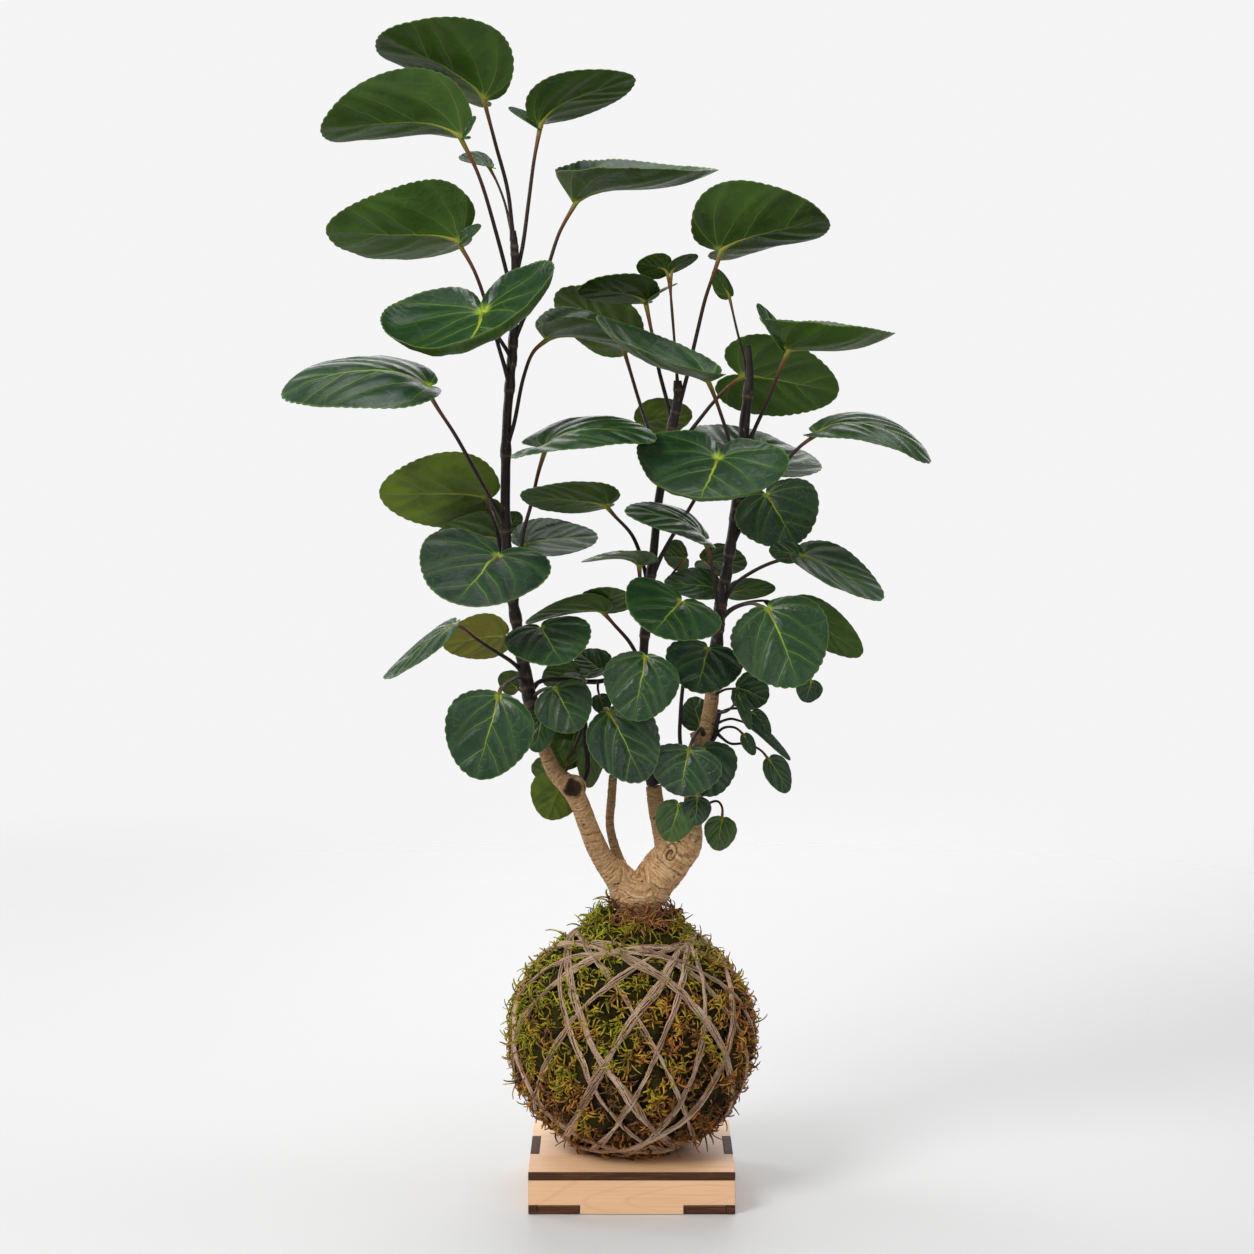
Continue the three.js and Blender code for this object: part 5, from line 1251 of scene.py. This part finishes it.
def leaf_veins():
    """Shader group: the midrib, the main veins, a dim net between them and the puffed places."""
    group, tree, given = new_group("LeafVeins", "Shader", (
        ("Place", "Vector", None),
        ("Net scale", "Float", 7.0),
        ("Midrib", "Float"),
        ("Main", "Float"),
        ("Net", "Float"),
        ("Puff", "Float"),
        ("Reach", "Float"),
    ))
    made = tree.add("NodeGroupOutput").inputs
    warp = tree.noise(given["Place"], 4.0, 2.0).outputs["Color"]
    warp = tree.vectors("MULTIPLY", tree.vectors("SUBTRACT", warp, (0.5, 0.5, 0.5)), (0.06, 0.06, 0.0))
    place = tree.vectors("ADD", given["Place"], warp)
    a, b, _ = tree.parts(place)
    aside = tree.math("ABSOLUTE", b)
    side = tree.math("SIGN", b)
    mid = tree.plus(aside, tree.math("MAXIMUM", tree.times(a, -1.0), 0.0))
    run = tree.math("MAXIMUM", a, 0.0)
    mid_width = tree.minus(0.0105, tree.times(run, 0.0065))
    tree.feed(made["Midrib"], tree.step(tree.math("DIVIDE", mid, mid_width), 1.5, 0.6))
    away, lines = mid, 0.0
    for origin, stagger, heading in VEINS:
        along = tree.minus(a, tree.plus(origin, tree.times(side, stagger)))
        rho = tree.length(along, b)
        bow = tree.minus(1.0, tree.times(rho, VEIN_CURVE))
        gap = tree.minus(tree.math("ARCTAN2", aside, along), tree.times(bow, math.radians(heading)))
        near = tree.times(rho, tree.math("ABSOLUTE", gap))
        width = tree.math("MAXIMUM", tree.minus(0.0072, tree.times(rho, 0.008)), 0.0026)
        line = tree.step(tree.math("DIVIDE", near, width), 1.5, 0.5)
        lines = tree.math("MAXIMUM", tree.times(line, tree.step(rho, 0.72, 0.12)), lines)
        away = tree.math("MINIMUM", away, near)
    tree.feed(made["Main"], lines)
    cells = tree.add(
        "ShaderNodeTexVoronoi", {"Vector": place, "Scale": given["Net scale"], "Randomness": 0.85},
        feature="DISTANCE_TO_EDGE").outputs["Distance"]
    faded = tree.step(tree.noise(given["Place"], 3.0, 1.0).outputs[0], 0.36, 0.62)
    tree.feed(made["Net"], tree.times(tree.step(cells, 0.05, 0.008), faded))
    within = tree.plus(0.8, tree.times(tree.step(cells, 0.0, 0.16), 0.2))
    tree.feed(made["Puff"], tree.times(tree.step(away, 0.0, 0.08), within))
    tree.feed(made["Reach"], tree.length(a, b))
    return group


def patchy():
    """Shader group: a soft mask and a fine one that vary over the surface."""
    group, tree, given = new_group("Patches", "Shader", (
        ("Place", "Vector", None),
        ("Broad scale", "Float", 20.0),
        ("Fine scale", "Float", 200.0),
        ("Broad", "Float"),
        ("Fine", "Float"),
    ))
    made = tree.add("NodeGroupOutput").inputs
    for label in ("Broad", "Fine"):
        noise = tree.noise(given["Place"], given[label + " scale"], 4.0)
        tree.feed(made[label], tree.step(noise.outputs[0], 0.3, 0.7))
    return group


def maple_grain():
    """Shader group: fine straight fibre and a few wide curved bands of pale wood."""
    group, tree, given = new_group("MapleGrain", "Shader", (
        ("Along", "Vector", None),
        ("Fibre", "Float"),
        ("Band", "Float"),
    ))
    made = tree.add("NodeGroupOutput").inputs
    fibre = tree.noise(tree.stretched(given["Along"], (18.0, 900.0, 900.0)), 1.0, 5.0, 0.65)
    tree.feed(made["Fibre"], fibre.outputs[0])
    slow = tree.noise(tree.stretched(given["Along"], (7.0, 30.0, 30.0)), 1.0, 1.0)
    level = tree.math("FRACT", tree.times(slow.outputs[0], 9.0))
    tree.feed(made["Band"], tree.step(tree.math("ABSOLUTE", tree.minus(level, 0.5)), 0.13, 0.0))
    return group


GROUPS = {}


def use(tree, make, **inputs):
    """Puts a shader group into a tree. The group itself is made once."""
    if make not in GROUPS:
        GROUPS[make] = make()
    node = tree.add("ShaderNodeGroup", node_tree=GROUPS[make])
    for label, value in inputs.items():
        tree.feed(node.inputs[label.replace("_", " ")], value)
    return node.outputs


def patches(tree, broad, fine, place=None):
    """The two patchy masks at these scales, over the object or over another place."""
    return use(tree, patchy, Place=place or tree.place(), Broad_scale=broad, Fine_scale=fine)


def leaf_look(tree, colours, under):
    """One skin of a blade: green ground, veins from the blade's own place and a pale rim as painted
    highlight.
    """
    ground, deep, fresh, vein, rib, lime, brown = (rgba(colour) for colour in colours)
    place = tree.vector("leaf_place")
    veins = use(tree, leaf_veins, Place=place)
    marks = patches(tree, 2.6, 22.0, place)
    colour = tree.blend(marks["Broad"], deep, ground)
    shade = tree.plus(tree.times(tree.value("leaf_shade"), 0.8), 0.35, clamp=True)
    colour = tree.blend(tree.times(shade, 0.75), colour, fresh)
    shaded_lime = rgba(0.45 * part for part in lime[:3])
    young = tree.blend(marks["Broad"], shaded_lime, lime)
    colour = tree.blend(tree.value("leaf_lime"), colour, young)
    colour = tree.blend(tree.value("leaf_brown"), colour, brown)
    along = tree.step(veins["Puff"], 0.85, 0.0)
    outward = tree.step(veins["Reach"], 1.05, 0.1)
    # rim is a painted highlight: the blade's very edge is tinted towards the pale vein colour.
    rim = tree.step(tree.value("leaf_rim"), 0.972, 0.996)
    heart = tree.step(veins["Reach"], 0.07, 0.01)
    for mask, share, line in (
            (along, 0.12, vein), (veins["Net"], 0.16, vein), (veins["Main"], 0.7, vein),
            (veins["Midrib"], outward, rib), (heart, 1.0, rib), (rim, 0.6, vein)):
        colour = tree.blend(tree.times(mask, share), colour, line)
    net = tree.math("MAXIMUM", tree.times(veins["Main"], 0.6), tree.times(veins["Net"], 0.2))
    lines = tree.math("MAXIMUM", veins["Midrib"], net)
    height = tree.plus(
        tree.times(veins["Puff"], -0.8 if under else 0.8), tree.times(lines, 0.7 if under else -0.3))
    height = tree.plus(height, tree.times(marks["Fine"], 0.15))
    gloss = tree.plus(0.42 if under else 0.3, tree.times(marks["Fine"], 0.12))
    return {"Base Color": colour, "Roughness": gloss, "Normal": tree.bump(height, 0.6, 0.0007)}


def stalk_look(tree):
    """Near-black stems and stalks that redden and then turn yellow-green towards the blade."""
    run = tree.value("stalk_run")
    marks = patches(tree, 90.0, 900.0)
    colour = tree.ramp(run, (
        (0.0, (0.011, 0.008, 0.006)), (0.5, (0.014, 0.007, 0.005)), (0.74, (0.052, 0.014, 0.007)),
        (0.9, (0.16, 0.062, 0.012)), (1.0, (0.24, 0.25, 0.02))))
    colour = tree.tint(colour, marks["Broad"], 0.2, (0.05, 0.028, 0.016))
    colour = tree.tint(colour, tree.value("scar"), 0.4, (0.2, 0.12, 0.07))
    fleck = tree.noise(tree.stretched(tree.place(), (520.0, 520.0, 200.0)), 1.0, 2.0).outputs[0]
    old = tree.step(run, 0.5, 0.2)
    colour = tree.tint(colour, tree.step(fleck, 0.67, 0.73), tree.times(old, 0.4), (0.32, 0.25, 0.17))
    gloss = tree.plus(0.36, tree.times(marks["Fine"], 0.2))
    return {"Base Color": colour, "Roughness": gloss, "Normal": tree.bump(marks["Fine"], 0.35, 0.0004)}


def bark_look(tree):
    """Tan bark with growth rings along each limb, cracks, pits and hollow darkened as painted shade, dark
    knots and darker young wood.
    """
    place = tree.vector("bark_place")
    marks = patches(tree, 38.0, 750.0)
    rings = tree.noise(tree.combined(z=tree.value("bark_run")), 0.62, 4.0, 0.7).outputs[0]
    arcs = tree.noise(tree.stretched(place, (1.4, 1.4, 42.0)), 1.0, 4.0, 0.7).outputs[0]
    grain = tree.plus(tree.times(rings, 0.5), tree.times(arcs, 0.5))
    crack = tree.noise(tree.stretched(place, (7.0, 7.0, 55.0)), 1.0, 3.0, 0.6).outputs[0]
    crack = tree.step(crack, 0.34, 0.26)
    young = tree.step(tree.value("bark_thick"), 6.0, 4.0)
    # The knots' own dark wood, and painted shade in the pits and the stub's hollow.
    pits = tree.step(tree.value("bark_dark"), 0.12, 0.75)
    colour = tree.ramp(tree.step(grain, 0.36, 0.64), (
        (0.0, (0.19, 0.085, 0.038)), (0.3, (0.52, 0.28, 0.12)), (0.6, (0.8, 0.49, 0.235)),
        (1.0, (0.9, 0.67, 0.42))))
    colour = tree.tint(colour, marks["Broad"], 0.3, (0.27, 0.14, 0.07))
    colour = tree.tint(colour, crack, 0.85, (0.06, 0.027, 0.012))
    colour = tree.tint(colour, young, 0.45, (0.12, 0.07, 0.042))
    colour = tree.tint(colour, pits, 0.92, (0.02, 0.011, 0.007))
    height = tree.plus(grain, tree.times(marks["Fine"], 0.25))
    height = tree.minus(height, tree.times(crack, 0.5))
    return {"Base Color": colour, "Normal": tree.bump(height, 1.0, 0.0018)}


def moss_look(tree, dark_tips):
    """Moss strands: yellow-green above and in tufts, olive and orange-brown below and to the right, painted
    shade at their feet.
    """
    across, _, height = tree.parts(tree.place())
    marks = patches(tree, 42.0, 130.0)
    strand = tree.value("strand_run")
    high = tree.times(tree.minus(height, 0.09), 6.2)
    fresh = tree.plus(tree.plus(high, tree.times(across, -2.6)), 0.34)
    for value, weight in ((marks["Broad"], 0.55), (marks["Fine"], 0.35)):
        fresh = tree.plus(fresh, tree.times(tree.minus(value, 0.5), weight))
    fresh = tree.plus(fresh, tree.times(tree.minus(tree.value("strand_shade"), 0.5), 0.55), clamp=True)
    colour = tree.ramp(fresh, (
        (0.0, (0.2, 0.07, 0.018)), (0.2, (0.48, 0.19, 0.035)), (0.4, (0.5, 0.3, 0.028)),
        (0.6, (0.4, 0.33, 0.014)), (0.8, (0.24, 0.25, 0.006)), (1.0, (0.46, 0.43, 0.012))))
    # Painted shade: each strand darkens almost to black towards its foot, deep among the strands.
    colour = tree.tint(colour, tree.step(strand, 0.55, 0.0), 0.85, (0.03, 0.018, 0.005))
    colour = tree.tint(colour, tree.step(marks["Fine"], 0.52, 0.3), 0.6, (0.05, 0.035, 0.006))
    colour = tree.tint(colour, tree.step(strand, 0.9, 1.0), dark_tips, (0.05, 0.022, 0.01))
    return {"Base Color": colour}


def ground_look(tree, scales, dark, light):
    """Rough crumbly ground in patches of two colours."""
    marks = patches(tree, *scales)
    colour = tree.blend(marks["Broad"], rgba(dark), rgba(light))
    return {"Base Color": colour, "Normal": tree.bump(marks["Fine"], 1.0, 0.002)}


def twine_look(tree):
    """Old grey-tan cord, each fibre of its own shade."""
    marks = patches(tree, 70.0, 900.0)
    pick = tree.math("FRACT", tree.times(tree.value("fibre"), 0.618))
    colour = tree.ramp(tree.plus(tree.times(pick, 0.6), tree.times(marks["Broad"], 0.4)), (
        (0.0, (0.22, 0.125, 0.075)), (0.4, (0.46, 0.3, 0.2)), (0.75, (0.6, 0.43, 0.3)),
        (1.0, (0.74, 0.56, 0.42))))
    return {"Base Color": colour, "Normal": tree.bump(marks["Fine"], 0.8, 0.0005)}


def root_look(tree):
    """Thin red-brown roots."""
    marks = patches(tree, 90.0, 600.0)
    shade = tree.plus(tree.times(tree.value("strand_shade"), 0.7), tree.times(marks["Broad"], 0.3))
    colour = tree.ramp(shade, (
        (0.0, (0.1, 0.035, 0.012)), (0.5, (0.28, 0.11, 0.035)), (1.0, (0.5, 0.24, 0.075))))
    return {"Base Color": colour}


def maple_look(tree, turn):
    """Pale maple whose fibre runs along x, or another way after a turn."""
    along = tree.add("ShaderNodeMapping", {"Vector": tree.place(), "Rotation": (0.0, 0.0, turn)}).outputs[0]
    wood = use(tree, maple_grain, Along=along)
    colour = tree.ramp(wood["Fibre"], (
        (0.3, (0.78, 0.46, 0.255)), (0.5, (0.86, 0.535, 0.305)), (0.7, (0.9, 0.58, 0.345))))
    colour = tree.tint(colour, wood["Band"], 0.35, (0.76, 0.4, 0.17))
    return {"Base Color": colour, "Normal": tree.bump(wood["Fibre"], 0.12, 0.0003)}


def burnt_look(tree):
    """The boards' dark edges, as a laser leaves them."""
    streak = tree.noise(tree.stretched(tree.place(), (60.0, 60.0, 1400.0)), 1.0, 4.0, 0.7).outputs[0]
    colour = tree.ramp(streak, (
        (0.3, (0.03, 0.009, 0.003)), (0.5, (0.07, 0.022, 0.008)), (0.72, (0.16, 0.065, 0.026))))
    return {"Base Color": colour, "Normal": tree.bump(streak, 0.4, 0.0004)}


def floor_look(tree, near, far):
    """Pale floor that fades into the pale surroundings, so that it has no far edge."""
    away = tree.add("ShaderNodeVectorMath", {0: tree.place()}, operation="LENGTH").outputs["Value"]
    return {"Base Color": rgba((0.6, 0.6, 0.6)), "Alpha": tree.step(away, far, near)}


# Each skin's colours: ground, its deeper and fresher patches, veins, midrib, young lime and aging brown.
LEAF_TOP = (
    (0.013, 0.042, 0.017), (0.006, 0.021, 0.009), (0.016, 0.062, 0.008), (0.1, 0.2, 0.03),
    (0.3, 0.42, 0.025), (0.1, 0.2, 0.01), (0.13, 0.12, 0.012))
LEAF_UNDER = (
    (0.034, 0.078, 0.005), (0.015, 0.036, 0.004), (0.044, 0.11, 0.004), (0.1, 0.165, 0.025),
    (0.24, 0.3, 0.04), (0.11, 0.17, 0.003), (0.17, 0.15, 0.01))

# Each material: what builds it, that function's inputs, and the shader's own roughness and specular level.
LOOKS = {
    "leaf_top": (leaf_look, (LEAF_TOP, False), None, 0.4),
    "leaf_under": (leaf_look, (LEAF_UNDER, True), None, 0.3),
    "dark_stem": (stalk_look, (), None, 0.3),
    "ringed_bark": (bark_look, (), 0.85, 0.25),
    "moss_strand": (moss_look, (0.25,), 0.6, 0.25),
    "moss_fringe": (moss_look, (0.85,), 0.6, 0.25),
    "moss_ground": (ground_look, ((60.0, 500.0), (0.02, 0.012, 0.005), (0.055, 0.045, 0.008)), 1.0, 0.1),
    "damp_soil": (ground_look, ((150.0, 700.0), (0.018, 0.011, 0.007), (0.06, 0.038, 0.022)), 1.0, 0.1),
    "root_fibre": (root_look, (), 0.7, 0.3),
    "old_twine": (twine_look, (), 0.9, 0.2),
    "maple_along_x": (maple_look, (0.0,), 0.5, 0.4),
    "maple_along_y": (maple_look, (math.pi / 2,), 0.5, 0.4),
    "burnt_edge": (burnt_look, (), 0.7, 0.3),
    "pale_floor": (floor_look, (0.55, 1.7), 0.6, 0.5),
}
MATERIALS = {}


def material(name):
    """A look's material, made once. What varies is fed to its shader, and the rest is set on the shader."""
    if name not in MATERIALS:
        build, inputs, roughness, specular = LOOKS[name]
        made = bpy.data.materials.new(name)
        made.use_nodes = True
        tree = Tree(made.node_tree)
        shader = made.node_tree.nodes["Principled BSDF"]
        shader.inputs["Specular IOR Level"].default_value = specular
        if roughness is not None:
            shader.inputs["Roughness"].default_value = roughness
        for label, value in build(tree, *inputs).items():
            tree.feed(shader.inputs[label], value)
        MATERIALS[name] = made
    return MATERIALS[name]


# ---------------------------------------------------------------- the add-on


class PlantSettings(bpy.types.PropertyGroup):
    """Sizes of the plant's looks."""

    bark_cell: bpy.props.FloatProperty(
        name="Bark cell", description="Size of the cells that the bark is built from", default=0.7 * MM,
        unit="LENGTH")
    board_bevel: bpy.props.FloatProperty(
        name="Board edge", description="How far the boards' edges are broken", default=0.25 * MM,
        unit="LENGTH")
    twine_fibres: bpy.props.IntProperty(
        name="Twine fibres", description="Fibres in each turn of twine", default=12, min=1)
    twine_width: bpy.props.FloatProperty(
        name="Twine width", description="Width of a turn of twine", default=3.8 * MM, unit="LENGTH")
    fibre_radius: bpy.props.FloatProperty(
        name="Fibre radius", description="Radius of one fibre of twine", default=0.38 * MM, unit="LENGTH")


class MossSettings(bpy.types.PropertyGroup):
    """How thick and long the moss grows."""

    tufts: bpy.props.IntProperty(
        name="Tufts", description="Tufts of moss to a square metre of skin, in each of its pieces",
        default=6600, min=0)
    length: bpy.props.FloatProperty(
        name="Strand length", description="Usual length of a strand", default=7.2 * MM, unit="LENGTH")
    radius: bpy.props.FloatProperty(
        name="Strand radius", description="Radius of a strand at its foot", default=0.6 * MM, unit="LENGTH")
    fringe: bpy.props.FloatProperty(
        name="Fringe length", description="Length of the few strands that stand out", default=9 * MM,
        unit="LENGTH")


class StageSettings(bpy.types.PropertyGroup):
    """The photo's camera, and the colour of the pale surroundings that light the scene."""

    camera_place: bpy.props.FloatVectorProperty(
        name="Camera", description="Where the camera stands", default=(-0.002752, -1.79829, 0.506596),
        subtype="TRANSLATION", unit="LENGTH")
    camera_pitch: bpy.props.FloatProperty(
        name="Pitch", description="How far the camera looks down", default=math.radians(5.408),
        subtype="ANGLE")
    camera_angle: bpy.props.FloatProperty(
        name="Angle of view", description="The camera's angle of view", default=math.radians(23.108),
        subtype="ANGLE")
    surroundings: bpy.props.FloatVectorProperty(
        name="Surroundings", description="Colour of the pale surroundings", default=(0.91, 0.91, 0.91),
        subtype="COLOR")


class StandOperator(bpy.types.Operator):
    """Builds the six maple boards of the low box stand."""

    bl_idname = "mossball.stand"
    bl_label = "Build the stand"

    def execute(self, context):
        for node in sorted(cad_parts):
            if node.startswith("base_"):
                piece = maple_board(node, context.scene.plant_settings.board_bevel)
                settle(piece, "maple_board", node)
        return {"FINISHED"}


class SoilOperator(bpy.types.Operator):
    """Gives the soil inside the moss its look."""

    bl_idname = "mossball.soil"
    bl_label = "Dress the soil"

    def execute(self, context):
        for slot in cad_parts["soil_core"].material_slots:
            slot.material = material("damp_soil")
        return {"FINISHED"}


class MossOperator(bpy.types.Operator):
    """Builds the moss: a closed shell with curled strands grown all over it."""

    bl_idname = "mossball.moss"
    bl_label = "Grow the moss"

    def execute(self, context):
        sizes = context.scene.moss_settings
        usual = sizes.length
        settle(moss_shell().build("moss_shell", [material("moss_ground")]), "moss", "moss_layer")
        group = strand_group()
        skins = {"ball": moss_field(), "collar": collar_field(True), "roots": collar_field(False)}
        # Name, skin, look, share of the tufts, strand length, share of the radius, lean, curl and seed.
        growths = (
            ("moss_strands_1", "ball", "moss_strand", 1.0, usual, 1.0, 1.0, 1.0, 3),
            ("moss_strands_2", "ball", "moss_strand", 1.0, usual * 0.8, 1.1, 1.1, 1.15, 14),
            ("moss_strands_3", "ball", "moss_strand", 1.0, usual * 1.25, 0.8, 1.0, 0.9, 25),
            ("moss_strands_4", "ball", "moss_strand", 1.0, usual * 0.65, 1.0, 0.8, 0.8, 47),
            ("moss_strands_5", "ball", "moss_strand", 1.0, usual, 0.9, 1.2, 1.3, 58),
            ("moss_strands_6", "ball", "moss_strand", 1.0, usual * 0.9, 1.0, 1.1, 1.1, 69),
            ("moss_fringe", "ball", "moss_fringe", 0.16, sizes.fringe, 0.95, 0.6, 0.9, 36),
            ("moss_collar", "collar", "moss_strand", 4.0, usual * 1.1, 0.8, 1.2, 0.8, 61),
            ("root_fibres", "roots", "root_fibre", 9.0, usual * 1.1, 0.8, 1.2, 0.8, 61),
        )
        for name, skin, look, crowd, length, thick, lean, curl, seed in growths:
            piece = grow(skins[skin], name, group, {
                "Tufts per square metre": crowd * sizes.tufts, "Strand length": length,
                "Strand radius": thick * sizes.radius, "Lean": lean, "Curl": curl, "Seed": seed,
                "Material": material(look)})
            settle(piece, "moss")
        return {"FINISHED"}


class TwineOperator(bpy.types.Operator):
    """Winds the twine: turns of loose fibres pressed into the moss."""

    bl_idname = "mossball.twine"
    bl_label = "Wind the twine"

    def execute(self, context):
        sizes = context.scene.plant_settings
        group = twine_group()
        turns = len(turn_normals())
        for name, first, last, share in (
                ("twine_main_turns", 0, TWINE_TURNS, 1.0), ("twine_loose_turns", TWINE_TURNS, turns, 0.62)):
            piece = grow(twine_paths(first, last), name, group, {
                "Fibres": round(sizes.twine_fibres * share), "Fibre radius": sizes.fibre_radius,
                "Bundle width": sizes.twine_width * share, "Bundle height": 0.6 * MM, "Waviness": 2.2 * MM,
                "Seed": first, "Material": material("old_twine")})
            settle(piece, "twine", *(["twine_binding"] if first == 0 else []))
        return {"FINISHED"}


class TrunkOperator(bpy.types.Operator):
    """Builds the forked trunk with its growth rings, pits and knots."""

    bl_idname = "mossball.trunk"
    bl_label = "Build the trunk"

    def execute(self, context):
        piece = build_trunk(context.scene.plant_settings.bark_cell)
        settle(piece, "bark", "trunk")
        return {"FINISHED"}


class LeavesOperator(bpy.types.Operator):
    """Builds every stem, spray and toothed leaf."""

    bl_idname = "mossball.leaves"
    bl_label = "Build the stems and leaves"

    def execute(self, context):
        dress = [material(look) for look in ("leaf_top", "leaf_under", "dark_stem")]
        for node, shape in leaf_shapes():
            kind = "dark_" if node in STEMS else "leafy_" if node.endswith("spray") else "toothed_"
            piece = shape.build(kind + node, dress)
            settle(piece, "stem" if node in STEMS else "leaf", node)
        return {"FINISHED"}


class StageOperator(bpy.types.Operator):
    """Sets up the pale floor, the soft light and the photo's camera."""

    bl_idname = "mossball.stage"
    bl_label = "Set the stage"

    def execute(self, context):
        settings = context.scene.stage_settings
        scene = context.scene
        mesh = bpy.data.meshes.new("floor")
        rim = [(FLOOR_RADIUS * math.cos(t), FLOOR_RADIUS * math.sin(t), FLOOR_HEIGHT) for t in circle(96)]
        mesh.from_pydata(rim, [], [range(96)])
        mesh.materials.append(material("pale_floor"))
        floor = bpy.data.objects.new("floor", mesh)
        scene.collection.objects.link(floor)

        camera = bpy.data.objects.new("camera", bpy.data.cameras.new("camera"))
        camera.data.angle = settings.camera_angle
        camera.data.clip_start = 0.05
        camera.data.clip_end = 30
        camera.location = settings.camera_place
        camera.rotation_euler = (math.pi / 2 - settings.camera_pitch, 0, 0)
        scene.collection.objects.link(camera)
        scene.camera = camera

        for name, place, size, power in LIGHTS:
            lamp = bpy.data.lights.new(name, "AREA")
            lamp.shape = "DISK"
            lamp.size = size
            lamp.energy = power
            light = bpy.data.objects.new(name, lamp)
            light.location = place
            away = unit(np.array(place) - LIT_PLACE)
            light.rotation_euler = (math.acos(away[2]), 0, math.atan2(away[1], away[0]) + math.pi / 2)
            light.visible_camera = False
            scene.collection.objects.link(light)

        world = bpy.data.worlds.new("pale_surroundings")
        world.use_nodes = True
        scene.world = world
        tree = Tree(world.node_tree)
        back = world.node_tree.nodes["Background"]
        back.inputs["Color"].default_value = (*settings.surroundings, 1)
        seen = tree.add("ShaderNodeLightPath").outputs["Is Camera Ray"]
        tree.feed(back.inputs["Strength"], tree.plus(0.36, tree.times(seen, 0.64)))
        scene.view_settings.view_transform = "Standard"
        return {"FINISHED"}


class PlantPanel(bpy.types.Panel):
    """Lists the pieces to build."""

    bl_idname = "MOSSBALL_PT_build"
    bl_label = "Moss Ball Plant"
    bl_space_type = "VIEW_3D"
    bl_region_type = "UI"
    bl_category = "Moss Ball Plant"

    def draw(self, context):
        for operator in OPERATORS:
            self.layout.operator(operator.bl_idname)
        for settings in (getattr(context.scene, key) for key in SETTINGS):
            box = self.layout.box()
            for name in settings.bl_rna.properties.keys():
                if name not in ("rna_type", "name"):
                    box.prop(settings, name)


SETTINGS = {"plant_settings": PlantSettings, "moss_settings": MossSettings, "stage_settings": StageSettings}
OPERATORS = (
    StandOperator, SoilOperator, MossOperator, TwineOperator, TrunkOperator, LeavesOperator, StageOperator)


def register():
    for kind in (*SETTINGS.values(), *OPERATORS, PlantPanel):
        bpy.utils.register_class(kind)
    for name, kind in SETTINGS.items():
        setattr(bpy.types.Scene, name, bpy.props.PointerProperty(type=kind))


def unregister():
    for name in SETTINGS:
        delattr(bpy.types.Scene, name)
    for kind in (PlantPanel, *reversed(OPERATORS), *SETTINGS.values()):
        bpy.utils.unregister_class(kind)


def main():
    register()
    bpy.ops.mossball.stand()
    bpy.ops.mossball.soil()
    bpy.ops.mossball.moss()
    bpy.ops.mossball.twine()
    bpy.ops.mossball.trunk()
    bpy.ops.mossball.leaves()
    bpy.ops.mossball.stage()


if __name__ == "__main__":
    main()
